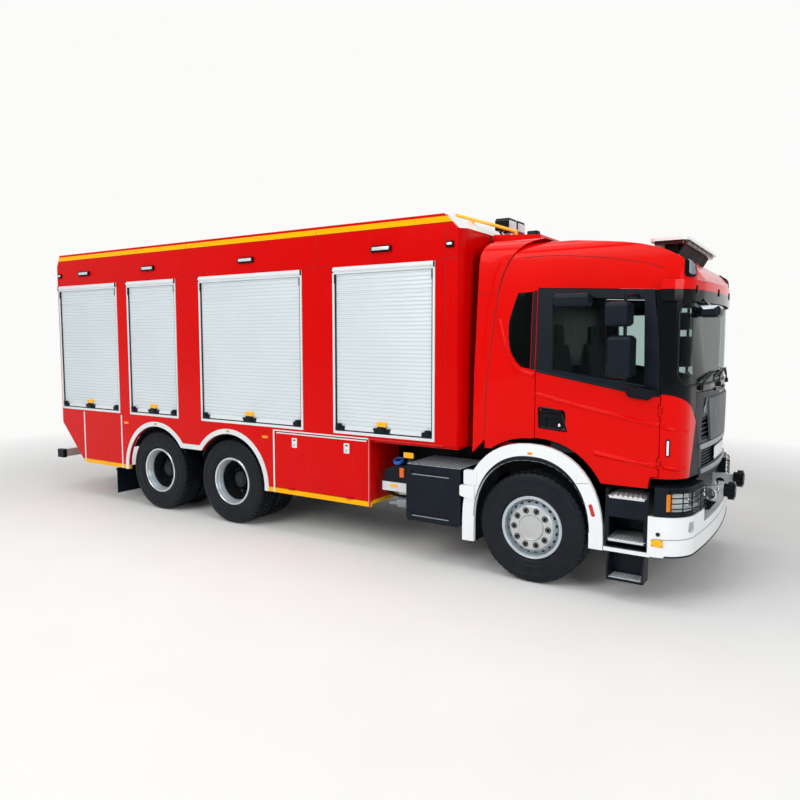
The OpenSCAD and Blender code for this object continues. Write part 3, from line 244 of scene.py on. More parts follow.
# %% Paints
RED = {"Specular IOR Level": 0.3, "Specular Tint": (1.0, 0.16, 0.12, 1.0)}
M = {
    # Sprayed over large flat sheets: deep colour, soft gloss, a faint ripple.
    "body_red": surface("two-pack gloss paint, fire red with yellow bands", "#D20203", 0.24, coat=0.04,
                        grain_mm=8, grain=0.02, mottle=0.03, dust=0.03, tint=body_bands, extra=RED),
    # Baked at the factory: a touch brighter and smoother than the body.
    "cab_red": surface("factory gloss paint, cab red", "#DE0604", 0.18, coat=0.10,
                       grain_mm=8, grain=0.02, mottle=0.02, dust=0.03, extra=RED),
    # Thick and clean, with a clear sheen over a matt white.
    "white": surface("gloss paint, white", "#EDF1F2", 0.30, coat=0.3, grain_mm=5, grain=0.03,
                     mottle=0.02, dust=0.06),
    # Smooth and dark, it mirrors the light as thin streaks.
    "gloss_black": surface("gloss paint, black", "#06090D", 0.14, dust=0.02, spec=0.14),
    # Thin, half matt and dusty.
    "chassis": surface("chassis paint, satin black", "#0F1317", 0.46, grain_mm=4, mottle=0.2, mottle_mm=160,
                       dust=0.10, spec=0.25),
    # A sand-cast skin under paint: lumpy and dull.
    "iron": surface("cast iron, painted grey", "#33373B", 0.6, metal=0.3, grain_mm=3, grain=0.35,
                    mottle=0.2, mottle_mm=90, dust=0.2),
    # Warm and even, it stands out from the red.
    "yellow": surface("gloss paint, signal yellow", YELLOW, 0.30, coat=0.1, grain_mm=4, grain=0.03),
    # Fine metal flakes: pale, with a soft bright side.
    "wheel": surface("wheel enamel, silver", "#C2CBD1", 0.34, metal=0.45, grain_mm=1, grain=0.06,
                     mottle_mm=80, dust=0.10),
    # A narrow gap between panels, in its own shade.
    "shadow": surface("paint gap, dark red", "#4A0305", 0.6, grain_mm=2, grain=0.05),
}
print("paints:", len(M))

# %% [markdown]
# Metals keep the default index of refraction. Most are only partly metallic, because a satin or coated
# surface mirrors less than polished metal does. Drawn and rolled ones have grain stretched along their
# length.

# %% Metals
M.update({
    # Slats from a roller mill: pale, a soft line along their length, and painted shade at each joint.
    "shutter": surface("roll-formed aluminium, anodised", "#DCE5E9", 0.40, metal=0.2, grain_mm=2, grain=0.05,
                       stretch=(0.02, 1, 1), mottle=0.03, mottle_mm=700, tint=slat_painted_shade),
    # Drawn through a die: faint lines along the bar.
    "alu": surface("extruded aluminium, satin", "#D8DDE0", 0.32, metal=0.5, grain_mm=2, grain=0.06,
                   stretch=(0.05, 1, 1), dust=0.08),
    # Powder melted to an even skin, hardly metallic any more.
    "trim": surface("extruded aluminium, powder coated pale", "#DFE4E6", 0.36, metal=0.05, grain_mm=1.5,
                    grain=0.05, mottle=0.03, dust=0.05, tint=red_ahead),
    # Raised bars that glint in turn as the eye moves.
    "tread": surface("aluminium tread plate, rolled", "#CDD2D4", 0.32, metal=0.5, grain_mm=2, grain=0.05,
                     dust=0.08, height=lozenges),
    # Dull dark grey with small bright edges.
    "steel": surface("zinc-flake steel, dark", "#2B3036", 0.36, metal=0.7, grain_mm=1, mottle=0.2,
                     mottle_mm=20),
    # A near mirror.
    "chrome": surface("vacuum-coated reflector, bright", "#E6EAEC", 0.08, metal=1.0, grain_mm=8, grain=0.03),
    # A mirror behind ribbed plastic: bright, but blurred.
    "silver": surface("vacuum-coated reflector, satin", "#E2E8EB", 0.22, metal=0.35, grain_mm=6, grain=0.03),
    # Fine lines from the brush, which draw the light out.
    "cap": surface("stainless sheet, brushed", "#C4C7C7", 0.36, metal=0.55, grain_mm=1.5, grain=0.06,
                   stretch=(0.1, 1, 1), mottle=0.05, mottle_mm=90),
})
print("with metals:", len(M))

# %% [markdown]
# Plastics are grained in the mould, lenses are ribbed behind a smooth face, and rubber and fabric hardly
# shine. A low specular level keeps the black parts dark under the white sky.

# %% Plastics, rubber, fabric and glass
LENS = {"grain_mm": 5, "grain": 0.25, "mottle": 0.12, "mottle_mm": 10}
M.update({
    # Grained in the mould to hide scratches: a soft, broad sheen.
    "black": surface("moulded plastic, black grained", "#0C1620", 0.38, grain_mm=1.6, grain=0.15, mottle=0.12,
                     mottle_mm=150, dust=0.02, spec=0.16),
    # Lightly pearled, so it is paler where it faces the light.
    "grey": surface("moulded plastic, pearl grey", "#8A939A", 0.36, metal=0.4, grain_mm=1.4, grain=0.08,
                    dust=0.03),
    "slate": surface("moulded plastic, slate grey", "#353D44", 0.42, metal=0.2, grain_mm=1.4, dust=0.03),
    # Coloured through, with a plain moulded sheen.
    "blue": surface("moulded plastic, blue cap", "#1760C4", 0.4, grain_mm=2),
    "orange": surface("moulded plastic, orange", "#EE6A14", 0.42, grain_mm=2, dust=0.05),
    # Cast sheet: smooth as glass, dark where it is smoked.
    "visor": surface("acrylic, red over smoked", "#DE0806", 0.10, mottle=0.02, grain_mm=9, grain=0.01,
                     tint=smoked_below, spec=0.22),
    "smoked": surface("acrylic, smoked dark red", "#4A0A12", 0.14, coat=0.05, grain_mm=9, grain=0.02,
                      mottle=0.05, spec=0.25),
    # Prisms behind a clear face, drawn as a fine mottle with bump.
    "lens": surface("moulded polycarbonate, clear lens", "#E4ECF0", 0.12, coat=0.6, grain_mm=6, grain=0.2,
                    mottle=0.1, mottle_mm=12),
    "amber": surface("moulded polycarbonate, amber lens", "#F58A06", 0.16, coat=0.4, **LENS),
    "red_lens": surface("moulded polycarbonate, red lens", "#C00A0C", 0.16, coat=0.4, **LENS),
    # Small glass beads under a film: an even, bright white.
    "plate": surface("reflective sheet, plain", "#E6E9E8", 0.4, grain_mm=1, grain=0.08, mottle=0.03),
    # Carbon black takes up most light and leaves a dull bluish sheen.
    "rubber": surface("tyre rubber, vulcanised", "#0B121A", 0.48, grain_mm=1.2, grain=0.12, mottle=0.15,
                      mottle_mm=60, dust=0.03, spec=0.22),
    "seam": surface("EPDM rubber seal, black", "#0A0B0C", 0.75, grain_mm=2, grain=0.2, mottle=0.2,
                    mottle_mm=50),
    # Threads cross at 2 mm, which kills the shine.
    "fabric": surface("woven seat fabric, charcoal", "#2B3038", 0.9, grain_mm=2, grain=0.5, mottle=0.12,
                      mottle_mm=60),
    # A soft leather grain, nearly matt.
    "soft": surface("slush-moulded vinyl, dark grey", "#262B30", 0.66, grain_mm=2, grain=0.3, mottle=0.08),
    # Nearly clear straight on, a mirror at a slant.
    "glass": glass("laminated glass, tinted", "#0E1718", "#E8F0EE", 0.95, 0.48),
    "clear": glass("headlamp glass, clear", "#C9D4D8", "#F8FAFA", 0.96, 0.30),
})
print("materials:", len(M))

# %% [markdown]
# ## CAD nodes
# The CAD solids keep their shape. A weld and a small bevel break their edges, so that they catch light as
# pressed and painted parts do. A node made of several pieces takes its colours face by face, by where a
# face lies.

# %% Dress the CAD nodes
DRESS = {
    "chassis": ("chassis_frame", "front_axle", "rear_axles"),
    "iron": ("engine_block", "knuckle_right", "knuckle_left", "tie_rod"),
    "cab_red": ("cab_shell", "cab_fairing", "door_right", "door_left"),
    "body_red": ("body_sides", "body_ends", "step_flap_right", "step_flap_left"),
    "black": ("side_tanks", "headlamps", "mudguards", "door_frame_right", "door_frame_left", "grille_hatch",
              "boarding_steps"),
    "white": ("bumper", "front_fenders", "light_bar"),
    "alu": ("horn_arms", "body_floor_pan", "underrun_bar", "rear_ladder", "mast_tube", "mast_head"),
    "tread": ("step_treads", "body_roof"),
    "trim": ("body_trims",),
    "shutter": ("shutters",),
    "yellow": ("roof_rails",),
    "glass": ("cab_glass", "door_glass_right", "door_glass_left"),
    "gloss_black": ("body_lamps", "windscreen_frame"),
    "visor": ("sun_visor",),
    "fabric": ("seats",),
    "soft": ("dashboard",),
    "wheel": [n for n in nodes if "_rim" in n],
    "rubber": [n for n in nodes if "_tyre" in n],
}
USUAL_BEVEL_MM = 2.5
BEVEL_MM = {
    "shutters": 0, "cab_glass": 0, "door_glass_right": 0, "door_glass_left": 0, "body_sides": 2,
    "cab_shell": 3, "door_right": 3, "door_left": 3, "bumper": 10, "headlamps": 5, "front_fenders": 8,
    "light_bar": 8, "grille_hatch": 2, "side_tanks": 6, "seats": 25, "dashboard": 12, "mast_head": 6}


def dress(obj, material, bevel_mm):
    """Gives a CAD node its material, and broken edges bevel_mm wide."""
    mesh = obj.data
    mesh.materials.clear()
    mesh.materials.append(material)
    if "custom_normal" in mesh.attributes:
        mesh.attributes.remove(mesh.attributes["custom_normal"])
    mesh.polygons.foreach_set("use_smooth", np.ones(len(mesh.polygons), bool))
    weld = obj.modifiers.new("weld", "WELD")
    weld.merge_threshold = 0.00005
    if bevel_mm:
        bevel = obj.modifiers.new("broken edges", "BEVEL")
        bevel.width, bevel.segments = bevel_mm / 1000, 2
        bevel.limit_method, bevel.angle_limit = "ANGLE", math.radians(32)
        bevel.use_clamp_overlap = True
    flat = obj.modifiers.new("flat faces", "WEIGHTED_NORMAL")
    flat.keep_sharp, flat.weight = True, 90


for key, names in DRESS.items():
    for name in names:
        dress(nodes[name], M[key], BEVEL_MM.get(name, USUAL_BEVEL_MM))
print("dressed:", sum(len(v) for v in DRESS.values()), "of", len(nodes))

# %% [markdown]
# Places below are in millimetres from the front axle, as on a drawing: x forward, y to the left and z up
# from the road. A face is picked by its centre and its normal, which needs no extra cuts in the mesh.

# %% Paint faces by place
AXLE_X = 3008.5
HUB_Z = 525
REAR_AXLES = ((1, -3930.0), (2, -5285.0))
BOW_R, BOW_X = 5000, -3590
NUT_R = 167.5


def paint(name, key, where):
    """Gives faces of a node another material if the test where(f) holds. f has arrays of face centres x, y, z
    in mm from the front axle, and of normals nx, ny, nz."""
    mesh = nodes[name].data
    count = len(mesh.polygons)
    centre, normal, index = np.empty(count * 3), np.empty(count * 3), np.empty(count, np.int32)
    mesh.polygons.foreach_get("center", centre)
    mesh.polygons.foreach_get("normal", normal)
    mesh.polygons.foreach_get("material_index", index)
    centre = centre.reshape(-1, 3) * 1000 - [AXLE_X, 0, 0]
    columns = [*centre.T, *normal.reshape(-1, 3).T]
    faces = np.rec.fromarrays(columns, names="x,y,z,nx,ny,nz")
    mesh.materials.append(M[key])
    index[where(faces)] = len(mesh.materials) - 1
    mesh.polygons.foreach_set("material_index", index)


def proud(f):
    """How far a place stands out from the bowed front of the cab."""
    return f.x - BOW_X - np.sqrt(BOW_R ** 2 - f.y * f.y)


def in_bowl(f):
    """Faces inside the two round hollows of each headlamp."""
    from_inner = np.hypot(abs(f.y) - 850, f.z - 912)
    from_outer = np.hypot(abs(f.y) - 985, f.z - 912)
    return (f.x > 1250) & (np.minimum(from_inner, from_outer) < 59.5)


def in_handle(f):
    """Faces inside the door's handle recess, and its grip."""
    near = (f.x > 38) & (f.x < 292) & (abs(f.z - 1552) < 92) & (abs(f.y) > 1112)
    return near & ((abs(f.y) < 1158) | (abs(f.ny) < 0.5))


# Two bright bars and the panel of the grille, and the horns.
paint("grille_hatch", "grey", lambda f: (proud(f) > 4) & ((abs(f.z - 1338) < 25) | (abs(f.z - 1118) < 24)))
paint("grille_hatch", "slate", lambda f: (proud(f) > 2) & (abs(f.z - 1690) < 77))
paint("horn_arms", "gloss_black", lambda f: f.x > 1522)
# Lamps in the light bar, headlamp hollows, and the front mirror that hangs on the visor.
paint("light_bar", "smoked", lambda f: (f.z < 3146) & (abs(f.y) < 820) & (f.nz < 0.5))
paint("light_bar", "gloss_black", lambda f: (f.z < 3100) & ((abs(f.y) > 900) | (abs(f.nz) < 0.9)))
paint("headlamps", "chrome", in_bowl)
paint("sun_visor", "black",
      lambda f: (f.y < -600) & ((f.z < 2598) | ((f.x > 1362) & (abs(f.y + 800) < 12))))
paint("sun_visor", "wheel", lambda f: (f.y < -600) & (f.z < 2598) & (f.nz > 0.15))
# The roof's front slope, the floor's red edges and the dark top of the side box.
paint("body_roof", "white", lambda f: (f.nx > 0.5) & (f.nz > 0.3))
paint("body_floor_pan", "body_red",
      lambda f: (f.nx > 0.9) & (f.x > -1840) | (abs(f.ny) > 0.7) & (abs(f.y) > 1190))
paint("step_treads", "black", lambda f: (f.x < -700) & (f.z > 1000) & (f.nz > 0.7))
# The tank's bright rail and the grey pipe below it, the bar's end caps, mast lamps and amber side lamps.
paint("side_tanks", "alu",
      lambda f: (f.x < -1352) & (f.x > -1725) & (f.y < -1105) & (f.z > 668) & (f.z < 772))
paint("side_tanks", "grey", lambda f: (f.x < -1352) & (f.y < -1040) & (f.z < 620))
paint("underrun_bar", "black", lambda f: abs(f.y) > 1181)
paint("mast_head", "gloss_black", lambda f: f.z > 3381)
paint("body_lamps", "amber", lambda f: (f.z < 1160) & (f.x > -7000))
# Handle recesses, nut rings, and the middle of the rear wheels: black hub and painted shade deep in the dish.
for side in ("right", "left"):
    paint("door_" + side, "gloss_black", in_handle)
    paint("front_rim_" + side, "steel",
          lambda f: (abs(np.hypot(f.x, f.z - HUB_Z) - NUT_R) < 17.5) & (abs(f.y) > 1151))
    # Rear discs and hubs in dark steel: the black hub, and painted shade deep in the dish.
    for i, axle in REAR_AXLES:
        paint(f"rear{i}_rims_{side}", "steel",
              lambda f: (abs(f.y) > 905) & (np.hypot(f.x - axle, f.z - HUB_Z) < 262))
print("painted by place: hatch, horns, light bar, lamps, rims and others")

# %% [markdown]
# ## Shapes for the small pieces
# A shape is an array of points in millimetres, x from the front axle, with arrays of faces. Each shape
# comes from a formula over whole arrays: stacked outlines, a profile turned about an axis, a circle swept
# along a path, or a band along a line. Local shapes have a across, b up and h out of the surface.

# %% Shape formulas
X, Y, Z = np.eye(3)
SIDE, FRONT, REAR, ROOF, INSIDE = (X, Z), (Y, Z), (-Y, Z), (X, Y), (-X, Z)
MIRROR = (-1, 1)


def grid(points, ring=False):
    """Quads over points of shape (rows, columns, 3). A ring joins each row's end to its start."""
    index = np.arange(points.shape[0] * points.shape[1]).reshape(points.shape[:2])
    if ring:
        index = np.c_[index, index[:, :1]]
    quads = np.stack([index[:-1, :-1], index[:-1, 1:], index[1:, 1:], index[1:, :-1]], -1)
    return points.reshape(-1, 3), [quads.reshape(-1, 4)]


def stack(levels):
    """Joins outlines of equal length, each (n, 3), and closes the first and the last."""
    points, faces = grid(np.array(levels), True)
    count = len(levels[0])
    return points, faces + [np.arange(count)[None, ::-1], np.arange(count)[None] + len(points) - count]


def outline(w, h, r, per=4):
    """A w by h rectangle with corners of radius r, anticlockwise."""
    turn = np.concatenate([np.linspace(q, q + 1, per + 1) for q in range(4)]) * math.pi / 2
    a = np.repeat([1, -1, -1, 1], per + 1) * (w / 2 - r) + r * np.cos(turn)
    return np.c_[a, np.repeat([1, 1, -1, -1], per + 1) * (h / 2 - r) + r * np.sin(turn)]


def level(flat, h):
    """Points of a flat outline, all at height h."""
    return np.c_[flat, np.full(len(flat), h)]


def pad(w, h, r, depth, edge=2.0, dome=0.0, a=0.0, b=0.0, low=0.0):
    """A rounded plate from low to depth at (a, b): the rim follows a quarter circle of radius edge, and
    the top a parabola that rises by dome."""
    t = np.linspace(0, math.pi / 2, 4)
    insets = np.r_[0, edge * (1 - np.cos(t))]
    heights = np.r_[low, depth - edge + edge * np.sin(t)]
    rims = [outline(w - 2 * i, h - 2 * i, max(r - i, 0.2)) + [a, b] for i in insets]
    rows = [level(rim, z) for rim, z in zip(rims, heights)]
    top = rows[-1][:, :2] - [a, b]
    for s in (0.75, 0.5, 0.2) if dome else ():
        rows.append(level(top * s + [a, b], depth + dome * (1 - s * s)))
    return stack(rows)


def slab(corners, depth, low=0.0):
    """A plate over a polygon, from low to depth, its top edge drawn in by 2 percent."""
    corners = np.array(corners, float)
    middle = corners.mean(0)
    steps = ((1, low), (1, depth * 0.6), (0.98, depth))
    return stack([level(middle + (corners - middle) * s, z) for s, z in steps])


def along(path, step):
    """A polyline at even steps, with its tangents."""
    path = np.array(path, float)
    length = np.r_[0, np.cumsum(np.linalg.norm(np.diff(path, axis=0), axis=1))]
    s = np.linspace(0, length[-1], max(2, int(length[-1] / step) + 1))
    line = np.stack([np.interp(s, length, c) for c in path.T], -1)
    tangent = np.gradient(line, axis=0)
    return line, tangent / np.linalg.norm(tangent, axis=1)[:, None]


def bend(points, reach):
    """Rounds the corners of a polyline with parabolas that start reach before each corner."""
    points = np.array(points, float)
    out, t = [points[0]], np.linspace(0, 1, 6)[:, None]
    for p, q, s in zip(points, points[1:], points[2:]):
        a = q + (p - q) * min(0.5, reach / np.linalg.norm(p - q))
        b = q + (s - q) * min(0.5, reach / np.linalg.norm(s - q))
        out += list((1 - t) ** 2 * a + 2 * t * (1 - t) * q + t * t * b)
    return np.array(out + [points[-1]])


def strip(path, width, height, step=25.0, across=5):
    """A band along a local path: its height is a cosine across the width, and its edges dip 1 mm under."""
    line, tangent = along(path, step)
    a = np.linspace(-0.5, 0.5, across)
    flat = line[None] + (width * a)[:, None, None] * np.c_[-tangent[:, 1], tangent[:, 0]][None]
    rise = np.broadcast_to(((height + 1) * np.cos(math.pi * a) - 1)[:, None, None], (*flat.shape[:2], 1))
    return grid(np.concatenate([flat, rise], -1))


def tube(path, r, sides=8):
    """A circle of radius r swept along a path; its frame is carried on from point to point without twist."""
    path = np.array(path, float)
    tangent = np.gradient(path, axis=0)
    tangent /= np.linalg.norm(tangent, axis=1)[:, None]
    side = np.cross(tangent[0], Z if abs(tangent[0][2]) < 0.9 else X)
    turn = np.linspace(0, 2 * math.pi, sides, endpoint=False)[:, None]
    rows = []
    for p, t in zip(path, tangent):
        side = side - t * side.dot(t)
        side /= np.linalg.norm(side)
        rows.append(p + r * (np.cos(turn) * side + np.sin(turn) * np.cross(t, side)))
    return stack(rows)


def lathe(profile, centre, axis, turns=24):
    """A profile of (radius, height) turned about an axis through centre."""
    axis = np.array(axis, float) / np.linalg.norm(axis)
    u = np.cross(axis, Z if abs(axis[2]) < 0.9 else X)
    u /= np.linalg.norm(u)
    turn = np.linspace(0, 2 * math.pi, turns, endpoint=False)[:, None]
    round_it = np.cos(turn) * u + np.sin(turn) * np.cross(axis, u)
    return stack([np.array(centre) + r * round_it + h * axis for r, h in profile])


def turned_ring(profile, centre, axis):
    """A closed profile of (radius, height) turned about an axis: a ring with no end caps."""
    points, faces = lathe([*profile, profile[0]], centre, axis, 96)
    return points, faces[:1]


print("shape formulas ready")

# %% [markdown]
# Shapes are placed flat, turned about an axle, mirrored to the other side, or draped on the CAD surface by
# rays, which is how a label or a pressed line follows a curved skin. Each finished piece becomes one mesh
# that rides on a body of the frame, so that it moves with its joint.

# %% Placing shapes


def merge(*shapes):
    """One shape out of several."""
    points, faces, count = [], [], 0
    for p, f in shapes:
        points.append(p)
        faces += [quads + count for quads in f]
        count += len(p)
    return np.concatenate(points), faces


def flip(shape):
    """The same shape on the other side of the truck."""
    return shape[0] * [1, -1, 1], [f[:, ::-1] for f in shape[1]]


def both(*shapes):
    """The shapes and their mirror images."""
    one = merge(*shapes)
    return merge(one, flip(one))


def place(shape, origin, axes):
    """Sets a local shape at origin, with a and b along the axes and h along their cross product."""
    u, v = axes
    return np.array(origin, float) + shape[0] @ np.array([u, v, np.cross(u, v)]), shape[1]


def on_side(y, *shapes):
    """Sets local shapes on the right side at y, with a along the truck and b up."""
    return place(merge(*shapes), (0, y, 0), SIDE)


def spin(shape, centre, count, first=0.0):
    """Copies of a shape at even turns about the y axis through centre."""
    out = []
    for t in first + np.arange(count) * 2 * math.pi / count:
        turn = np.array([[math.cos(t), 0, math.sin(t)], [0, 1, 0], [-math.sin(t), 0, math.cos(t)]])
        out.append(((shape[0] - centre) @ turn.T + centre, shape[1]))
    return merge(*out)


def skin(*names):
    """A ray target over CAD nodes, in mm from the front axle."""
    points, faces, count = [], [], 0
    for name in names:
        mesh = nodes[name].data
        co = np.empty(len(mesh.vertices) * 3)
        mesh.vertices.foreach_get("co", co)
        points.append(co.reshape(-1, 3) * 1000 - [AXLE_X, 0, 0])
        faces += [[i + count for i in poly.vertices] for poly in mesh.polygons]
        count += len(mesh.vertices)
    return BVHTree.FromPolygons(np.concatenate(points).tolist(), faces)


def drape(shape, axes, target, reach=1700.0):
    """Lays a local shape on a target along -h, from reach out; a and b are read from the front axle. A point
    that misses takes the depth of the point before it."""
    u, v = axes
    out = np.cross(u, v)
    points, last = [], 0.0
    for a, b, h in shape[0]:
        begin = a * u + b * v + out * reach
        hit = target.ray_cast(Vector(begin), Vector(-out), reach)[0]
        last = np.array(hit).dot(out) if hit else last
        points.append(a * u + b * v + out * (last + h))
    return np.array(points), shape[1]


made = []


def piece(name, shape, key, body="truck", sharp=38):
    """A mesh of a shape that rides on a body. Edges over sharp degrees stay crisp."""
    points, faces = shape
    name = name.replace(" ", "_")
    mesh = bpy.data.meshes.new(name)
    rows = [row for quads in faces for row in quads.tolist()]
    mesh.from_pydata(((points + [AXLE_X, 0, 0]) / 1000).tolist(), [], rows)
    mesh.materials.append(M[key])
    mesh.polygons.foreach_set("use_smooth", np.ones(len(rows), bool))
    mesh.set_sharp_from_angle(angle=math.radians(sharp))
    obj = bpy.data.objects.new(name, mesh)
    bpy.context.scene.collection.objects.link(obj)
    made.append(len(rows))
    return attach(obj, body)


def pair(name, shape, key, body, sharp=38):
    """A shape of the right side and its mirror image, each on its own body."""
    piece(name + " right", shape, key, "right_" + body, sharp)
    piece(name + " left", flip(shape), key, "left_" + body, sharp)


def tell(label):
    """Prints what a step made."""
    print(f"{label}: {len(made)} pieces so far, {sum(made)} faces")


print("placing helpers ready")

# %% [markdown]
# ## Wheels
# The CAD tyres are plain turned rings, so treaded ones stand for them. A tyre is one grid: columns follow
# the section from bead to bead, rows go round. Grooves are columns that lie deeper, and slots are rows that
# lie deeper, shifted by half a pitch from rib to rib.

# %% Tyres
TYRE_R, TYRE_W, RIM_R, FACE = 525.0, 315.0, 286.0, 1235.0
TWIN_GAP = 35
PITCHES = 52
PHASES = np.array([0.06, 0.10, 0.40, 0.44, 0.56, 0.60, 0.90, 0.94])
GROOVES = (88, 32, -32, -88)
# Sidewall from bead to shoulder: radius, and how far it lies past the half width.
WALL = [(286.6, -38), (300, -37), (312, -14), (322, -7), (334, -8), (345, -5), (360, -4), (364, -1),
        (370, -1), (375, -3), (405, -1), (438, -2), (443, 2), (455, 2), (460, -3), (478, -6), (492, -9),
        (506, -15), (516, -24), (519, -29)]


def tyre(x, face, side, lug):
    """A tyre at axle x with its outer face at face on side -1 or 1. lug is the depth of the slots in
    the ribs."""
    half = TYRE_W / 2
    wall = [(r, half + w) for r, w in WALL]
    crown = [(TYRE_R - 5, 126), (TYRE_R - 3, 112)]
    for g in GROOVES:
        crown += [(TYRE_R - 1, g + 8), (TYRE_R - 14, g + 5), (TYRE_R - 14, g - 5), (TYRE_R - 1, g - 8)]
    crown += [(TYRE_R - 3, -112), (TYRE_R - 5, -126)]
    radius, across = np.array(wall + crown + [(r, -w) for r, w in wall[::-1]]).T
    rib = np.digitize(across, GROOVES[::-1])
    shoulder = np.interp(radius, [478, 506, 525], [0, 6, 9])
    deep = np.where(abs(across) > 96, shoulder, np.where(radius > 515, lug, 0))
    phase = np.tile(PHASES, PITCHES)
    odd, even = (phase > 0.42) & (phase < 0.58), (phase < 0.08) | (phase > 0.92)
    cut = np.where((rib % 2)[None] == 1, odd[:, None], even[:, None])
    r = radius[None] - deep[None] * cut
    turn = (np.repeat(np.arange(PITCHES), len(PHASES)) + phase)[:, None] * 2 * math.pi / PITCHES
    y = side * np.broadcast_to(face - half + across, r.shape)
    points = np.stack([x + r * np.cos(turn), y, HUB_Z + r * np.sin(turn)], -1)
    return grid(points[::side].swapaxes(0, 1), True)


WHEELS = [("front", "front_tyre", "wheel_front", 0.0)]
WHEELS += [(f"rear{i}", f"rear{i}_tyres", f"wheel_rear{i}", x) for i, x in REAR_AXLES]
SIDES = (("right", -1), ("left", 1))
for label, node, body, x in WHEELS:
    for name, side in SIDES:
        twin = label != "front"
        faces = (FACE, FACE - TYRE_W - TWIN_GAP) if twin else (FACE,)
        shape = merge(*[tyre(x, f, side, 9.0 if twin else 2.0) for f in faces])
        treaded = piece(f"{label} treaded tyre {name}", shape, "rubber", f"{body}_{name}", 30)
        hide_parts(f"{node}_{name}")
tell("tyres, 10 in 6 pieces")

# %% [markdown]
# Nuts with domed caps sit on the bolt circle and a rolled bead runs round each rim. The front wheels bulge
# out: a dish with vents rises to a flat ring round the nuts and a turned hub cover, and the vents and the
# wells round the nuts are painted dark as shade. The rear wheels are hollow: silver steps lead to a well
# painted dark as shade, with the hub flange in it. Each of these rings is a closed profile turned about the
# axle.

# %% Rim profiles
NUT_COUNT = 10
REAR_DISC = 902.5
NUT = [(23, 0), (23, 4), (19.5, 5), (19.5, 24), (17, 27)]
NUT_RING = [(206, -15), (202, -13), (124, -13), (121, -15), (121, -22), (206, -22)]
NUT_WELL = [(31, -18), (31, -13.5), (29.5, -12.5), (21, -12.5), (20, -14), (20, -18)]
DISH = [(262, -85), (258, -80), (216, -28), (212, -18), (206, -14), (205, -22), (210, -32), (254, -86)]
HUB_COVER = [(119, -24), (119, -10), (116, -6), (110, -5), (106, -7), (64, -4), (60, -2.5), (24, -1),
             (20, -2), (4, -2)]
RIM_STEPS = [(271, -22), (266, -34), (262, -56), (255, -64), (257, -80), (249, -92), (245, -110), (248, -118),
             (262, -118), (263, -62)]
RIM_WELL = [(258, -117), (255, -200), (252, -312), (256, -314), (262, -300), (262, -117)]
BEAD = [(RIM_R + 5 + 8 * math.cos(t), 8 * math.sin(t)) for t in np.linspace(0, 2 * math.pi, 11)]
print("points in the rim bead:", len(BEAD))

# %% [markdown]
# One loop dresses all six wheels: nuts, bead and valve for each, then what differs between front and rear.
# The pieces ride on the wheel's own body, so they turn with it.

# %% Rims


def nut_with_cap(x, side, seat, tip):
    """A hexagon nut on the bolt circle with a round cap that ends tip above its seat."""
    centre, out = (x + NUT_R, side * seat, HUB_Z), side * Y
    cap = [(16.6, 20), (16.6, tip + 1), (14, tip + 7), (8, tip + 10), (2, tip + 11)]
    return merge(lathe(NUT, centre, out, 6), lathe(cap, centre, out, 14))


def rear_wheel(label, name, ride, x, side):
    """Hub bolts with a cap, silver steps and a well painted dark as the shade deep in the rim."""
    hub, out = (x, side * FACE, HUB_Z), side * Y
    bolt = lathe([(11, 0), (11, 8), (9, 10), (3, 11)], (x + 80, side * 1067, HUB_Z), out, 6)
    cap = lathe([(64, 0), (64, 6), (56, 10), (30, 12), (4, 12)], (x, side * 1072, HUB_Z), out, 32)
    piece(f"{label} hub bolts {name}", merge(spin(bolt, (x, 0, HUB_Z), 8), cap), "steel", ride)
    piece(f"{label} rim steps {name}", turned_ring(RIM_STEPS, hub, out), "wheel", ride, 50)
    # The well liner is painted dark: painted shade deep in the rim.
    piece(f"{label} rim well {name}", turned_ring(RIM_WELL, hub, out), "chassis", ride, 50)


def front_wheel(name, ride, side):
    """A hub cover with a flat ring, a dish, and painted shade: dark wells round the nuts and dark vents."""
    hub, out, axle = (0, side * FACE, HUB_Z), side * Y, (0, 0, HUB_Z)
    cover = merge(lathe(HUB_COVER, hub, out, 64), turned_ring(NUT_RING, hub, out))
    piece(f"hub cover {name}", cover, "cap", ride, 25)
    piece(f"front dish {name}", turned_ring(DISH, hub, out), "wheel", ride, 40)
    well = lathe(NUT_WELL, (NUT_R, side * FACE, HUB_Z), out, 24)
    slope, away = 0.663 * X - 0.749 * out, 0.749 * X + 0.663 * out
    middle = np.array([239, side * FACE, HUB_Z]) - 54 * out
    vent = place(pad(32, 22, 10, 1.4, 0.5), middle, (np.cross(slope, away), slope))
    # Nut wells and vents in dark rubber: painted shade in the recesses and holes.
    dark = merge(spin(well, axle, NUT_COUNT), spin(vent, axle, 2 * NUT_COUNT, 0.157))
    piece(f"wheel wells and vents {name}", dark, "seam", ride)


for label, _, body, x in WHEELS:
    for name, side in SIDES:
        ride, rear, out = f"{body}_{name}", label != "front", side * Y
        seat, tip = (REAR_DISC + 13, 39) if rear else (FACE - 34, 22)
        nuts = spin(nut_with_cap(x, side, seat, tip), (x, 0, HUB_Z), NUT_COUNT)
        piece(f"{label} nuts {name}", nuts, "steel" if rear else "gloss_black", ride)
        bead = lathe(BEAD, (x, side * (FACE - 27), HUB_Z), out, 96)
        piece(f"{label} rim bead {name}", (bead[0], bead[1][:1]), "chrome" if rear else "wheel", ride, 60)
        stem = [(x, side * (FACE - y), HUB_Z + RIM_R - z) for y, z in ((60, 24), (30, 34), (12, 36))]
        piece(f"{label} valve {name}", tube(bend(stem, 12), 4), "steel", ride)
        if rear:
            rear_wheel(label, name, ride, x, side)
        else:
            front_wheel(name, ride, side)
tell("rims")

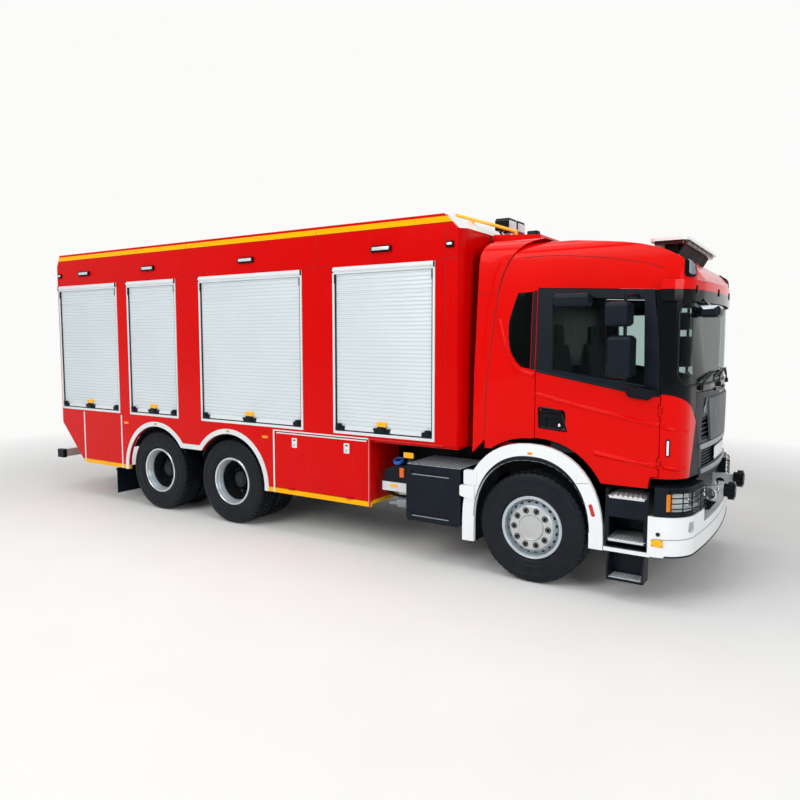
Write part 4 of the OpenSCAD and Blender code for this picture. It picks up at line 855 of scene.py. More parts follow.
# %% [markdown]
# ## Body
# Nine roller shutters share one set of parts, made once for a given width: cover tube, a dark strip of
# painted shade under it, side seals, end bar, corner blocks, hooks and a latch with a yellow lever. The set
# is placed on each opening and mirrored.

# %% Shutter fittings
SHUTTERS = [(-1659.5, 1273), (-3568.5, 1673), (-5329.5, 987), (-6723.0, 1358)]
REAR_SHUTTER_W = 1100
LOW, HIGH = 1255.0, 3053.0
SLATS_Y, SLATS_X = -1238, -7415


def bar(profile, a0, a1):
    """A local profile of (b, h) points swept from a0 to a1."""
    b, h = np.array(profile, float).T
    return stack([np.c_[np.full(len(b), a), b, h] for a in (a0, a1)])


def shutter_parts(w):
    """Local parts for an opening w wide, by material, with h measured from the slats."""
    tall, t, end = HIGH - LOW, np.linspace(0, math.pi, 13), w / 2
    cover = bar(np.c_[tall - 30 + 26 * np.cos(t), 14 + 22 * np.sin(t)], -end + 4, end - 4)
    # A dark strip under the cover tube: painted shade beneath the cover.
    lip = bar([(tall - 74, -2), (tall - 57, -2), (tall - 57, 15), (tall - 74, 12)], -end + 26, end - 26)
    dark = [lip, pad(w - 80, 10, 3, 9, b=36, low=-3)]
    dark += [pad(13, tall - 106, 3, 12, a=s * (end - 33), b=tall / 2 - 22, low=-3) for s in MIRROR]
    dark += [pad(118, 56, 9, 22, a=s * (end - 88), b=60, low=-3) for s in MIRROR]
    dark += [pad(58, 52, 14, 38, 5, a=s * (end - 76), b=86) for s in MIRROR]
    dark += [pad(15, 96, 5, 24, 4, a=s * (end - 31), b=tall - 126, low=-3) for s in MIRROR]
    dark += [pad(8, 60, 3, 40, 4, a=s * (end - 6), b=tall - 31) for s in MIRROR]
    dark += [pad(196, 42, 10, 22, b=54, low=-3), pad(96, 62, 16, 36, 5, b=80)]
    dark += [pad(44, 24, 9, 30, 4, a=s * 82, b=78) for s in MIRROR]
    return {"trim": [cover, pad(w - 78, 34, 4, 8, b=60, low=-3)],
            "black": dark,
            "yellow": [pad(112, 54, 10, 30, 6, b=132)],
            "steel": [pad(24, 24, 11.5, 42, 3, b=82)]}


parts = {}
for middle, w in SHUTTERS:
    for key, shapes in shutter_parts(w).items():
        parts.setdefault(key, []).append(both(place(merge(*shapes), (middle, SLATS_Y, LOW), SIDE)))
for key, shapes in shutter_parts(REAR_SHUTTER_W).items():
    parts[key].append(place(merge(*shapes), (SLATS_X, 0, LOW), REAR))
LABELS = {"trim": "covers", "black": "seals and blocks", "yellow": "levers", "steel": "locks"}
for key, label in LABELS.items():
    piece("shutter " + label, merge(*parts[key]), key)
tell("shutter fittings")

# %% [markdown]
# Panel joints are thin raised bands in a darker red, which read as gaps from a few steps away. Lamps get
# lenses.

# %% Body joints and lamps
SIDE_Y = -1250
LIGHT_X = (-1658, -3580, -5357, -6757)
JOINT = {"r": 1, "depth": 0.9, "edge": 0.4}
joints = [pad(3.5, 440, a=x, b=3278, **JOINT) for x in (-4626, -2515)]
joints += [pad(3.5, 300, a=x, b=3205, **JOINT) for x in (-900, -5930)]
sills = ((-885, 216), (-2514, 420), (-4620, 415), (-5933, 205))
joints += [pad(w, 3, a=x, b=3070, **JOINT) for x, w in sills]
joints.append(pad(3, 1800, a=-905, b=2150, **JOINT))
piece("body panel joints", both(on_side(SIDE_Y, *joints)), "shadow")
lights = [pad(212, 34, 8, 5, 2, a=x, b=3211) for x in LIGHT_X]
piece("scene light lenses", both(on_side(SIDE_Y - 24, *lights)), "silver")
ends = [pad(18, 52, 7, 7, 3, a=x + s * 112, b=3208) for x in LIGHT_X for s in MIRROR]
piece("scene light ends", both(on_side(SIDE_Y - 23, *ends)), "steel")
markers = [pad(58, 24, 8, 5, 2, a=x, b=3203) for x in (-857, -7352)]
piece("marker lenses", both(on_side(SIDE_Y - 20, *markers)), "lens")
amber = [pad(46, 22, 6, 9, 3, a=x, b=1156) for _, x in REAR_AXLES]
piece("arch lamps", both(on_side(SIDE_Y - 12, *amber)), "amber")
tell("body joints and lamps")

# %% [markdown]
# The step flaps fold down to stand on. Outside they have two latches with slots and a pale edge, and their
# inner face, which is then on top, is tread plate.

# %% Step flaps
FLAP_X = -2501
latches, slots = [], []
for x in (-2867, -2122):
    latches += [pad(74, 112, 9, 4, 1.5, a=x, b=1097), pad(46, 34, 8, 9, 3, a=x, b=1076)]
    slots += [pad(36, 16, 6, 4.6, 0.5, a=x, b=1128), pad(8, 26, 3, 10, 1, a=x, b=1076)]
pair("flap latch plates", on_side(SIDE_Y, *latches), "trim", "flap")
pair("flap latch slots", on_side(SIDE_Y, *slots), "steel", "flap")
pair("flap edge trims", on_side(SIDE_Y, pad(1290, 14, 4, 3, 1, a=FLAP_X, b=1197)), "trim", "flap")
pair("flap tread", place(pad(1230, 560, 20, 4, 1), (FLAP_X, -1213, 880), INSIDE), "tread", "flap")
tell("step flaps")

# %% [markdown]
# Stop and turn lamps stand on the rear corners as lenses on dark housings, with a blank plate and
# reflectors beside them. The photo doesn't show this end, so it follows what such trucks carry.

# %% Rear end
REAR_X = -7427
for key, heights in {"red_lens": (1132, 1372), "amber": (1252,)}.items():
    places = [(REAR_X - 30, y, z) for z in heights for y in (-1125, 1125)]
    lamps = [place(pad(96, 90, 16, 8, 4, 6), p, REAR) for p in places]
    piece(key.replace("_", " ") + " rear lamps", merge(*lamps), key)
reflectors = [place(pad(90, 40, 8, 6, 2), (REAR_X, y, 1070), REAR) for y in (-920, 920)]
piece("rear reflectors", merge(*reflectors), "red_lens")
piece("rear blank plate", place(pad(520, 116, 8, 6, 1.5), (REAR_X, 320, 1150), REAR), "plate")
BOLT = [(9, 0), (9, 3), (6, 6), (2, 7)]
bolts = [lathe(BOLT, (-7622, y, 557), -X, 10) for y in range(-1100, 1101, 200)]
piece("underrun bolts", merge(*bolts), "steel")
grip = [(REAR_X, 640, 1400), (REAR_X - 73, 640, 1400), (REAR_X - 73, 640, 2000), (REAR_X, 640, 2000)]
piece("rear grab handle", tube(bend(grip, 40), 16), "yellow")
box = place(pad(90, 60, 12, 60, 6), (REAR_X, 0, 3200), REAR)
eye = lathe([(16, 0), (16, 12), (10, 16), (3, 16)], (REAR_X - 60, 0, 3200), -X, 16)
piece("reversing camera", merge(box, eye), "black")
tell("rear end")

# %% [markdown]
# The mast lifts its lamps, so their lenses, cooling fins and cable ride on it. The roof has a spot lamp, an
# edge rail a side, and legs under its grab rails.

# %% Mast and roof
ROOF_Z = 3500
glow, fins = [], []
lens = pad(176, 84, 12, 6, 3, 3)
for y in (-532, -308):
    glow += [place(lens, (-522, y, 3445), FRONT), place(lens, (-672, y, 3445), REAR)]
    fins += [place(pad(150, 8, 3, 12, 2, b=k), (-597, y, ROOF_Z), ROOF) for k in (-80, -48, -16, 16, 48, 80)]
piece("mast lamp lenses", merge(*glow), "lens", "mast")
piece("mast lamp fins", merge(*fins), "gloss_black", "mast")
cable = bend([(-640, -470, 3345), (-690, -500, 3400), (-676, -520, 3440)], 40)
piece("mast cable", tube(cable, 9), "seam", "mast")
spot = place(pad(112, 96, 16, 74, 8), (-338, -420, 3312), ROOF)
spot_face = place(pad(70, 40, 8, 4, 2), (-282, -420, 3352), FRONT)
piece("roof spot lamp", merge(spot, spot_face), "black")
rails = [place(pad(6600, 20, 5, 10, 4, a=-4150, b=y), (0, 0, ROOF_Z), ROOF) for y in (-1190, 1190)]
piece("roof edge rails", merge(*rails), "alu")
piece("roof rail legs", both(tube([(-905, 675, 3360), (-905, 675, 3505)], 15, 12)), "yellow")
tell("mast and roof")

# %% [markdown]
# ## Cab
# The cab is lined inside. Its CAD shell is one solid, so the lining is found rather than modelled: a ray
# along a face's normal tells whether the face looks across the cab.

# %% Cab lining
room = skin("cab_shell", "cab_fairing", "windscreen_frame", "cab_glass", "door_right", "door_left",
            "door_frame_right", "door_frame_left", "door_glass_right", "door_glass_left")
LINED_MM = 60


def looks_across(f):
    """True for faces that look across the cab: a ray along the normal meets another wall over 60 mm away."""
    centres, normals = np.c_[f.x, f.y, f.z], np.c_[f.nx, f.ny, f.nz]
    reach = [room.ray_cast(Vector(p + n), Vector(n))[3] for p, n in zip(centres, normals)]
    return np.array([r is not None and r > LINED_MM for r in reach])


def underneath(f):
    """The cab's floor from below, and the fire wall behind the hatch."""
    behind_hatch = (f.x > 1100) & (f.nx > 0.7) & (f.z < 1760) & (abs(f.y) < 900)
    return (f.z < 1420) & (f.nz < -0.3) | behind_hatch


for name in ("cab_shell", "cab_fairing", "door_right", "door_left"):
    paint(name, "soft", looks_across)
paint("cab_shell", "chassis", underneath)
print("cab lined with vinyl, and dark underneath")

# %% [markdown]
# Lines and plates on the cab are drawn flat, in the side or front view, and draped on the curved skin by
# rays: the roof joint, the pressed creases and the ridge behind the rear quarter window. A crease is a wide
# low band in the paint's own colour, so only its shading shows.

# %% Cab joints and pressed ridges
cab = skin("cab_shell", "cab_fairing", "windscreen_frame")
door = skin("door_right", "door_frame_right")


def ridges(rows, target):
    """Pressed ridges in the side view, from rows of (path, width, height)."""
    return [drape(strip(path, w, h, 20, 9), SIDE, target) for path, w, h in rows]


roof_line = bend([(-190, 3040), (42, 3047), (316, 3030), (641, 2989), (929, 2935), (1090, 2880)], 120)
fairing_line = [(-640, 2715), (-436, 2715)]
seam_line = bend([(-519, 1330), (-500, 1860), (-413, 2712), (-350, 2935), (-268, 3066)], 120)
lines = [drape(strip(p, w, 1), SIDE, cab) for p, w in ((roof_line, 8), (fairing_line, 7), (seam_line, 11))]
piece("cab roof joints", both(*lines), "seam", sharp=70)
window_ridge = bend([(-392, 2470), (-349, 2297), (-262, 2110), (-157, 1985), (-20, 1950)], 90)
swage = [(1140, 1541), (1190, 1530), (1302, 1497)]
sill = [(1150, 1203), (1200, 1196), (1300, 1184)]
flank = bend([(-535, 2100), (-500, 2600), (-458, 2850), (-390, 3010)], 120)
cab_rows = ((window_ridge, 46, 15), (swage, 40, 11), (sill, 46, 14), (flank, 34, 9))
piece("cab pressed ridges", both(*ridges(cab_rows, cab)), "cab_red", sharp=70)
door_swage = bend([(2, 1780), (369, 1693), (767, 1616), (1104, 1549)], 100)
door_sill = [(556, 1277), (640, 1262), (777, 1242), (1104, 1208)]
door_rows = ((door_swage, 44, 12), (door_sill, 50, 15))
pair("door pressed ridges", merge(*ridges(door_rows, door)), "cab_red", "door", 70)
tell("cab joints and ridges")

# %% [markdown]
# Each door has a handle in a dark recess, a lock, a belt seal under its window and the foot of the mirror
# arm. The pillar behind the window is covered in black plastic, and a slim lamp stands on the front corner.

# %% Door handles, seals and corner lamps
DOOR_Y = -1160
hand = [(33, 1653), (236, 1632), (302, 1450), (40, 1470), (33, 1653)]
recess = on_side(DOOR_Y, strip(hand, 24, 7, 12, 7), slab(hand[:4][::-1], -5, -9))
grip = pad(212, 60, 10, 16, 5, a=152, b=1596, low=-6)
stem = pad(14, 140, 5, 10, 3, a=104, b=1552, low=-6)
pair("door handles", merge(recess, on_side(DOOR_Y + 2, grip, stem)), "gloss_black", "door")
lock = lathe([(13, 0), (13, 5), (9, 7), (3, 7)], (236, DOOR_Y - 5, 1500), -Y, 16)
pair("door locks", lock, "chrome", "door")
belt = drape(strip([(0, 1992), (400, 1918), (802, 1843), (1100, 1806)], 26, 9, 20, 7), SIDE, door)
foot = [(809, 1842), (845, 1786), (1000, 1765), (1085, 1815), (1098, 1852), (921, 1884)]
pair("door belt seals", merge(belt, drape(slab(foot, 26), SIDE, door)), "black", "door")
pillar = drape(strip([(-33.5, 2002), (-33.5, 2730)], 51, 6, 25, 9), SIDE, cab)
piece("window pillar covers", both(pillar), "black", sharp=70)
housing = drape(pad(30, 150, 14, 9, 3, a=1176, b=1366), SIDE, cab)
piece("corner lamp housings", both(housing), "gloss_black")
lens = drape(pad(17, 128, 8, 13, 3, 2, a=1176, b=1366), SIDE, cab)
piece("corner lamp lenses", both(lens), "lens")
tell("door handles and seals")

# %% [markdown]
# Doors open, so their inner faces get a lined panel, an armrest, a pocket and a pull handle. Mirrors get
# glass and trim, and all of it rides on the door.

# %% Door linings and mirrors
panel, armrest = pad(840, 480, 60, 12, 6, a=-560, b=1490), pad(430, 62, 26, 52, 14, a=-520, b=1610)
pocket = pad(420, 150, 30, 40, 12, a=-560, b=1340)
pair("door linings", place(merge(panel, armrest, pocket), (0, -1109, 0), INSIDE), "soft", "door")
pull = bend([(760, -1098, 1690), (760, -1060, 1700), (960, -1060, 1660), (960, -1098, 1650)], 25)
pair("door pull handles", tube(pull, 11), "black", "door")
MIRROR_Y, MIRROR_Z, WIDE_Z = -1390, 2138, 2490
main_glass = place(pad(184, 316, 34, 3, 1), (746, MIRROR_Y, MIRROR_Z), REAR)
wide_glass = place(pad(184, 166, 34, 3, 1), (720, MIRROR_Y, WIDE_Z), REAR)
pair("mirror glasses", merge(main_glass, wide_glass), "chrome", "door")
shells = [place(pad(14, 300, 6, 4, 2, a=s * 96), (925, MIRROR_Y, MIRROR_Z), FRONT) for s in MIRROR]
hood = place(pad(120, 84, 20, 12, 5), (360, -1232, 2686), ROOF)
pair("mirror shells", merge(*shells, hood), "black", "door")
tell("door linings and mirrors")

# %% [markdown]
# Over the windscreen sit the light bar and the sun visor. The marker lamps on the roof corners get lenses.
# The bar gets lamp modules, a dark apron that closes the gap to the roof, and caps on top. The visor gets
# its clips.

# %% Light bar and visor
FAR = 2000
light = skin("light_bar")
corner_lens = drape(pad(70, 126, 22, 8, 3, 1, a=-1030, b=2885), FRONT, light, FAR)
piece("roof corner lenses", both(corner_lens), "grey")
modules = [pad(230, 14, 5, 6, 2, a=y, b=3129) for y in (-600, -360, -120, 120, 360, 600)]
piece("light bar modules", place(merge(*modules), (1196, 0, 0), FRONT), "smoked")
apron = bar([(3016, 1092), (3150, 1170), (3150, 1186), (3016, 1108)], -660, 660)
piece("light bar apron", place(apron, (0, 0, 0), FRONT), "seam", sharp=50)
caps = [pad(210, 60, 12, 10, 3, a=1060, b=y) for y in (-500, 0, 500)]
piece("light bar caps", place(merge(*caps), (0, 0, 3170), ROOF), "trim")
visor = skin("sun_visor")
clips = [drape(pad(34, 66, 8, 8, 3, a=y, b=2700), FRONT, visor, FAR) for y in (-960, -330)]
piece("visor clips", both(*clips), "gloss_black")
tell("light bar and visor")

# %% [markdown]
# The windscreen gets a rubber seal and three wipers. Each wiper is an arm and a blade whose path lies on
# the glass.

# %% Windscreen
front = skin("cab_glass", "windscreen_frame")
ring = outline(2196, 720, 110, 8) + [0, 2250]
piece("windscreen seal", drape(strip([*ring, ring[0]], 22, 5, 20, 5), FRONT, front, FAR), "seam", sharp=70)


def on_front(points, lift):
    """Places in the front view, on the glass and lifted off it."""
    line, _ = along(points, 40)
    return drape((level(line, lift), []), FRONT, front, FAR)[0]


arms, blades = [], []
for y in (-760, -60, 640):
    arms.append(tube(on_front([(y, 1862), (y + 40, 1905), (y + 330, 1978)], 24), 8))
    pivot = on_front([(y, 1862), (y + 1, 1862)], 0)[0]
    arms.append(lathe([(24, 0), (24, 20), (18, 28), (4, 30)], pivot, X, 16))
    blades.append(tube(on_front([(y - 10, 1925), (y + 300, 1962), (y + 620, 1986)], 12), 7))
    blades.append(tube(on_front([(y + 60, 1938), (y + 540, 1984)], 22), 6))
piece("wiper arms", merge(*arms), "black")
piece("wiper blades", merge(*blades), "seam")
tell("windscreen")

# %% [markdown]
# The hatch carries the grille. A bowed panel covers its middle, and a blank plate is fixed between the two
# bright bars. All of these ride on the hatch.

# %% Grille
hatch = skin("grille_hatch")


def bowed(low, high, lift):
    """A panel on the bowed front between two (height, half width) edges: y runs to the half width, x lies
    on the front's circle, and the border falls back from lift to the surface."""
    u = np.r_[-1, np.linspace(-0.985, 0.985, 25), 1]
    v = np.r_[0, np.linspace(0.015, 0.985, 12), 1]
    (z0, w0), (z1, w1) = low, high
    y = u[None] * (w0 + (w1 - w0) * v[:, None])
    z = np.broadcast_to((z0 + (z1 - z0) * v)[:, None], y.shape)
    inside = (abs(u)[None] < 1) & (abs(v - 0.5)[:, None] < 0.5)
    return grid(np.stack([np.sqrt(BOW_R ** 2 - y * y) + BOW_X + lift * inside, y, z], -1))


piece("grille centre panel", bowed((1366, 444), (1764, 572), 17), "slate", "hatch", 30)
piece("blank number plate", place(pad(520, 112, 8, 6, 2), (1412, 0, 1228), FRONT), "plate", "hatch")
edges = [pad(548, 10, 4, 14, 3, b=z) for z in (1162, 1290)]
piece("plate holder", place(merge(*edges), (1402, 0, 0), FRONT), "gloss_black", "hatch")
trims = [bend([(s * 620, 1618), (s * 625, 1690), (s * 560, 1772)], 60) for s in MIRROR]
trims = [drape(strip(t, 12, 5, 15), FRONT, hatch, FAR) for t in trims]
piece("grille panel trims", merge(*trims), "grey", "hatch", 70)
piece("hatch grip", place(pad(220, 26, 10, 14, 5, b=1788), (1398, 0, 0), FRONT), "gloss_black", "hatch")
tell("grille")

# %% [markdown]
# ## Front end
# The bumper's plan is a shallow bow with round corners, so the wire guards and lamp glasses follow that
# plan at an offset: the bow first, then the corner's arc.

# %% Bumper plan
PLAN_R, CORNER_R, NOSE_X = 8000, 300, 1445
CORNER = np.array([1085.5, 955.0])


def round_bumper(offset, y0, last_deg, count=30):
    """Points in plan that follow the bumper at an offset, from y0 on the bow to an angle on the
    left corner."""
    meet = math.asin(CORNER[1] / (PLAN_R - CORNER_R))
    bow = np.linspace(math.asin(y0 / (PLAN_R + offset)), meet, count)
    arc = np.linspace(meet, math.radians(last_deg), count)[1:]
    bow_line = np.c_[NOSE_X - PLAN_R + (PLAN_R + offset) * np.cos(bow), (PLAN_R + offset) * np.sin(bow)]
    return np.r_[bow_line, CORNER + (CORNER_R + offset) * np.c_[np.cos(arc), np.sin(arc)]]


def wrap(plan, z0, z1, rows=4):
    """A sheet over a plan line between two heights."""
    return grid(np.array([level(plan, z) for z in np.linspace(z0, z1, rows)]))


def shelf(outer, z0, inner, z1):
    """A sheet between two plan lines at their own heights."""
    return grid(np.array([level(outer, z0), level(inner, z1)]))


print("bumper plan points:", len(round_bumper(0, 20, 88)))

# %% [markdown]
# A headlamp is built as the real one is: a clear glass outside, a bright liner, two reflector bowls with
# bulbs, and an amber turn lens round the corner. Thin wires guard it.

# %% Headlamps
LAMP_X, LAMP_Z = 1240, 912
piece("headlamp glasses", both(wrap(round_bumper(-17, 768, 57), 834, 990)), "clear", sharp=70)
corner_arc = np.radians(np.linspace(57.5, 67.5, 9))
turn_plan = CORNER + (CORNER_R - 16) * np.c_[np.cos(corner_arc), np.sin(corner_arc)]
piece("headlamp turn lenses", both(wrap(turn_plan, 838, 986)), "amber", sharp=70)
inner, outer = round_bumper(-70, 770, 56), round_bumper(-24, 770, 56)
liner = [wrap(inner, 864, 962), shelf(outer, 836, inner, 864), shelf(inner, 962, outer, 988)]
piece("headlamp liners", both(*liner), "silver", sharp=30)
BOWL = [(60, 95), (58, 98), (49, 97), (46, 94), (40, 84), (28, 75), (12, 70), (2, 69)]
BULB = [(20, 70), (20, 80), (15, 90), (4, 94)]
bowls = [lathe(BOWL, (LAMP_X, y, LAMP_Z), X, 28) for y in (850, 985)]
bulbs = [lathe(BULB, (LAMP_X, y, LAMP_Z), X, 18) for y in (850, 985)]
piece("headlamp reflectors", both(*bowls), "chrome")
piece("headlamp bulbs", both(*bulbs), "lens")
piece("headlamp ribs", both(place(pad(15, 118, 6, 42, 5), (1312, 918, LAMP_Z), FRONT)), "gloss_black")
guard = round_bumper(16, 735, 62)
LAST = len(guard) - 1
wires = [tube(level(guard, z), 5) for z in (822, 868, 914, 960, 1006)]
wires += [tube([(*guard[i], 812), (*guard[i], 1016)], 5) for i in (0, 18, 38, 48, LAST)]
for i in (0, LAST):
    root = guard[i] - (guard[i] - CORNER) * 0.12
    wires += [tube([(*guard[i], z), (*root, z)], 6) for z in (830, 1000)]
piece("headlamp guards", both(*wires), "gloss_black")
tell("headlamps")

# %% [markdown]
# Fog lamps sit in the bumper's corners, turned a little outwards. Markers, plugs, a groove and a dark lip
# break up the white.

# %% Fog lamps and bumper marks
FOG_DEG, FOG_Z = 18, 695
BUMPER_Y = -1255
turn = math.radians(FOG_DEG)
away = np.array([math.cos(turn), math.sin(turn)])
fog_axes = (np.array([-math.sin(turn), math.cos(turn), 0]), Z)
fog_lens = place(pad(92, 88, 28, 14, 4, 7), (*(CORNER + 272 * away), FOG_Z), fog_axes)
piece("fog lamp lenses", both(fog_lens), "clear")
fog_bowl = place(pad(90, 86, 27, 5, 2), (*(CORNER + 271 * away), FOG_Z), fog_axes)
piece("fog lamp bowls", both(fog_bowl), "chrome")
piece("bumper side markers", both(on_side(BUMPER_Y, pad(92, 62, 6, 4, 1, a=1135, b=568))), "yellow")
plug = lathe([(17, -4), (17, 2), (13, 4), (3, 4)], (1140, BUMPER_Y, 645), -Y, 20)
piece("bumper plugs", both(plug), "seam")
rivets = [pad(9, 9, 4, 6, 1, a=1135 + s * 38, b=568 + t * 22) for s in MIRROR for t in MIRROR]
piece("marker rivets", both(on_side(BUMPER_Y, *rivets)), "steel")
piece("bumper groove", both(wrap(round_bumper(2, 20, 88), 598, 604, 2)), "grey", sharp=70)
piece("bumper lip", both(tube(level(round_bumper(-4, 20, 70), 452.0), 9)), "black")
tell("fog lamps and bumper")

# %% [markdown]
# Two horns stand out on bracket arms. Each bracket gets a dark cover, a bright ring round its hole and
# bolts, and each horn a face with rings.

# %% Horns
HORN, BRACKET_Y = (1605, 325, 900), -345
cheek = slab([(1332, 702), (1402, 702), (1462, 784), (1332, 800)], 4)
piece("horn bracket covers", both(on_side(BRACKET_Y, cheek)), "black")
eye = turned_ring([(45, -2), (58, -2), (58, 3), (55, 5), (48, 5), (45, 3)], (1400, BRACKET_Y, 850), -Y)
lip = on_side(BRACKET_Y, strip([(1336, 930), (1520, 930)], 16, 5))
spots = ((1352, 880), (1352, 830), (1470, 905), (1480, 872))
bolts = [lathe([(10, -1), (10, 6), (6, 9), (2, 9)], (x, BRACKET_Y, z), -Y, 12) for x, z in spots]
piece("horn bracket trims", both(eye, lip, *bolts), "chrome")
bell = lathe([(84, -4), (87, 0), (84, 4), (76, 2), (60, 5), (30, 9), (4, 10)], HORN, X, 40)
piece("horn faces", both(bell), "gloss_black")
rings = [lathe([(r + 2, 3), (r + 2, 10), (r - 2, 10), (r - 2, 3)], HORN, X, 32) for r in (24, 42, 60)]
piece("horn rings", both(*rings), "steel")
tell("horns")

# %% [markdown]
# Boarding steps are punched plate, so boots grip: rows of round studs on the two lower treads and slanted
# ribs on the top one, with a bright nose along each edge.

# %% Boarding steps
STEP_X = 874
risers = [pad(360, 156, 12, 8, 3, a=STEP_X, b=822)]
risers += [pad(34, 184, 10, 8, 3, a=x, b=650) for x in (710, 1038)]
piece("step riser panels", both(on_side(-1238, *risers)), "black")
STUD = [(7, 0), (7, 2), (4, 4), (2, 4)]
studs = []
for first, z, columns in ((754, 208, 8), (738, 550, 10)):
    spots = [(first + 33 * i, 1100 + 31 * j, z) for i in range(columns) for j in range(5)]
    studs += [lathe(STUD, spot, Z, 8) for spot in spots]
slants = [[(740 + x, 1075), (756 + x, 1075), (790 + x, 1240), (768 + x, 1240)] for x in range(0, 252, 42)]
ribs = [place(slab(corners, 7), (0, 0, 930), ROOF) for corners in slants]
piece("step studs and ribs", both(*studs, *ribs), "alu")
noses = [pad(300, 18, 6, 6, 2, a=STEP_X, b=z) for z in (538, 918)]
piece("step noses", both(on_side(-1246, *noses)), "alu")
SCREW = [(9, 0), (9, 3), (5, 6), (2, 6)]
screws = [lathe(SCREW, (x, -1246, z), -Y, 10) for x in (719, 1023) for z in (230, 300)]
piece("step screws", both(*screws), "steel")
tell("boarding steps")

# %% [markdown]
# Fenders get a lamp at the top, a reflector on their front leg, a joint, and a black band of painted shade
# along the wheel opening, which from other sides looks like a rubber edge. The band follows a superellipse,
# which is a circle with slightly fuller shoulders, as the wheel opening does.

# %% Fenders
FENDER_Y = -1256
piece("fender lamps", both(on_side(SIDE_Y, pad(46, 24, 8, 10, 3, a=-8, b=1232))), "amber")
tilt = math.radians(-72)
lean = (np.array([math.cos(tilt), 0, math.sin(tilt)]), np.array([-math.sin(tilt), 0, math.cos(tilt)]))
piece("fender reflectors", both(place(pad(112, 34, 12, 9, 3), (578, SIDE_Y, 775), lean)), "red_lens")
joint = drape(strip([(430, 1000), (545, 1012)], 6, 0.8, 10), SIDE, skin("front_fenders"))
piece("fender joints", both(joint), "seam", sharp=70)
# The black band on the fender face along the opening: painted shade under the fender's edge.
t = np.radians(np.linspace(3, 177, 70))
cos, sin = np.sign(np.cos(t)) * abs(np.cos(t)) ** 0.9, np.sin(t) ** 0.9
section = ((566, 640, -4), (566, 641, 2), (570, 678, 2), (571, 682, -1))
rows = [np.c_[-12 + a * cos, np.full(len(t), FENDER_Y - h), HUB_Z + b * sin] for a, b, h in section]
piece("fender edge shade bands", both(grid(np.array(rows))), "black", sharp=50)
tell("fenders")

# %% [markdown]
# Behind the right front wheel stand the side box, with painted highlight lines on its pressed ribs and a
# studded lid, and the tank with its blue cap, tags and hoses. The hoses are circles swept along rounded paths
# between the places where they are fixed.

# %% Tank and side box
CAP = [(57, 0), (58, 8), (58, 26), (53, 34), (42, 34), (38, 22), (4, 20)]
piece("tank cap", lathe(CAP, (-1556, -1076, 974), (0, -0.342, 0.94), 28), "blue")
piece("tank reflector", on_side(-1140, pad(54, 100, 8, 20, 4, a=-1471, b=880)), "orange")
low_tag = on_side(-1150, pad(86, 32, 5, 4, 1, a=-1571, b=730))
high_tag = on_side(-1156, pad(122, 58, 5, 5, 1, a=-1385, b=1074))
piece("tank tags", merge(low_tag, high_tag), "yellow")
post = on_side(-1150, pad(26, 110, 5, 6, 1, a=-1372, b=1050))
foot = on_side(-1146, pad(60, 40, 6, 6, 1, a=-1372, b=1004))
piece("tag bracket", merge(post, foot), "steel")
drain = [(-1690, -1000, 850), (-1760, -1000, 800), (-1780, -980, 620), (-1700, -900, 560), (-1500, -860, 560)]
breather = [(-1430, -1090, 945), (-1390, -1060, 1010), (-1360, -900, 980)]
piece("tank hoses", merge(tube(bend(drain, 70), 16), tube(bend(breather, 40), 9)), "seam")
# Pale lines along the lower edge of each pressed groove: painted highlights where the ribs catch the light.
ribs = [strip([(-1286, z), (-856, z)], 11, 4) for z in (905, 475)]
piece("side box highlight lines", on_side(SIDE_Y, *ribs), "grey", sharp=70)
studs = []
for k, x in enumerate(np.arange(-1330, -740, 42)):
    studs += [pad(26, 9, 4, 3, 1, a=x, b=y) for y in np.arange(-1228 + 18 * (k % 2), -670, 36)]
piece("side box studs", place(merge(*studs), (0, 0, 1011), ROOF), "alu")
tell("tank and side box")

# %% [markdown]
# ## Under the truck
# Brake chambers, air tanks and brake pipes show from low views. They are turned and swept shapes too.

# %% Running gear
REAR_CAN = [(20, -60), (70, -50), (82, -36), (82, 30), (74, 40), (60, 96), (20, 100)]
FRONT_CAN = [(20, -60), (66, -50), (76, -36), (76, 30), (60, 44), (16, 48)]
TANK = [(10, -360), (70, -352), (100, -322), (100, 322), (70, 352), (10, 360)]
cans = [lathe(REAR_CAN, (x + 210, 480, 640), X, 20) for _, x in REAR_AXLES]
cans.append(lathe(FRONT_CAN, (-180, 575, 640), X, 20))
piece("brake chambers", both(*cans), "chassis")
piece("air tanks", both(lathe(TANK, (-2300, 512, 690), X, 28)), "iron")
run = np.array([(-2650, 60, 790), (-2650, 330, 790), (-3700, 345, 790), (-3720, 400, 680)])
runs = [run * [1, s, 1] for s in MIRROR]
piece("brake pipes", merge(*[tube(bend(r, 60), 8) for r in runs]), "seam")
tell("running gear")

# %% [markdown]
# ## Stage
# A pale floor curves up behind the truck, as paper does in a studio. Far from the truck it shows as plain
# white to the camera and to mirrors, and near the truck it keeps the shadow.

# %% Floor
FLOOR_DEG = 32.5
NEAR_M, FAR_M = 6.5, 11.0
FLAT_END, CURVE_R, WALL_TOP = 14, 9, 26.0
concrete, tree, floor_at, floor_xyz = start("cast concrete, pale and smooth")
cloud = ramp(tree, noise(tree, floor_at, 900, 4), 0.3, 0.7, 0.985, 1.015)
speckle = add(tree, "HueSaturation", {"Color": srgb("#ECECEA"), "Value": cloud})
matte = add(tree, "BsdfPrincipled", {"Base Color": speckle.outputs[0], "Roughness": 0.8})
ray = add(tree, "LightPath").outputs
seen = calc(tree, "MAXIMUM", ray["Is Camera Ray"], ray["Is Glossy Ray"])
seen = calc(tree, "MAXIMUM", seen, ray["Is Transmission Ray"])
flat_at = add(tree, "CombineXYZ", {0: floor_xyz[0], 1: floor_xyz[1]}).outputs[0]
distance = add(tree, "VectorMath", {0: flat_at}, operation="LENGTH").outputs["Value"]
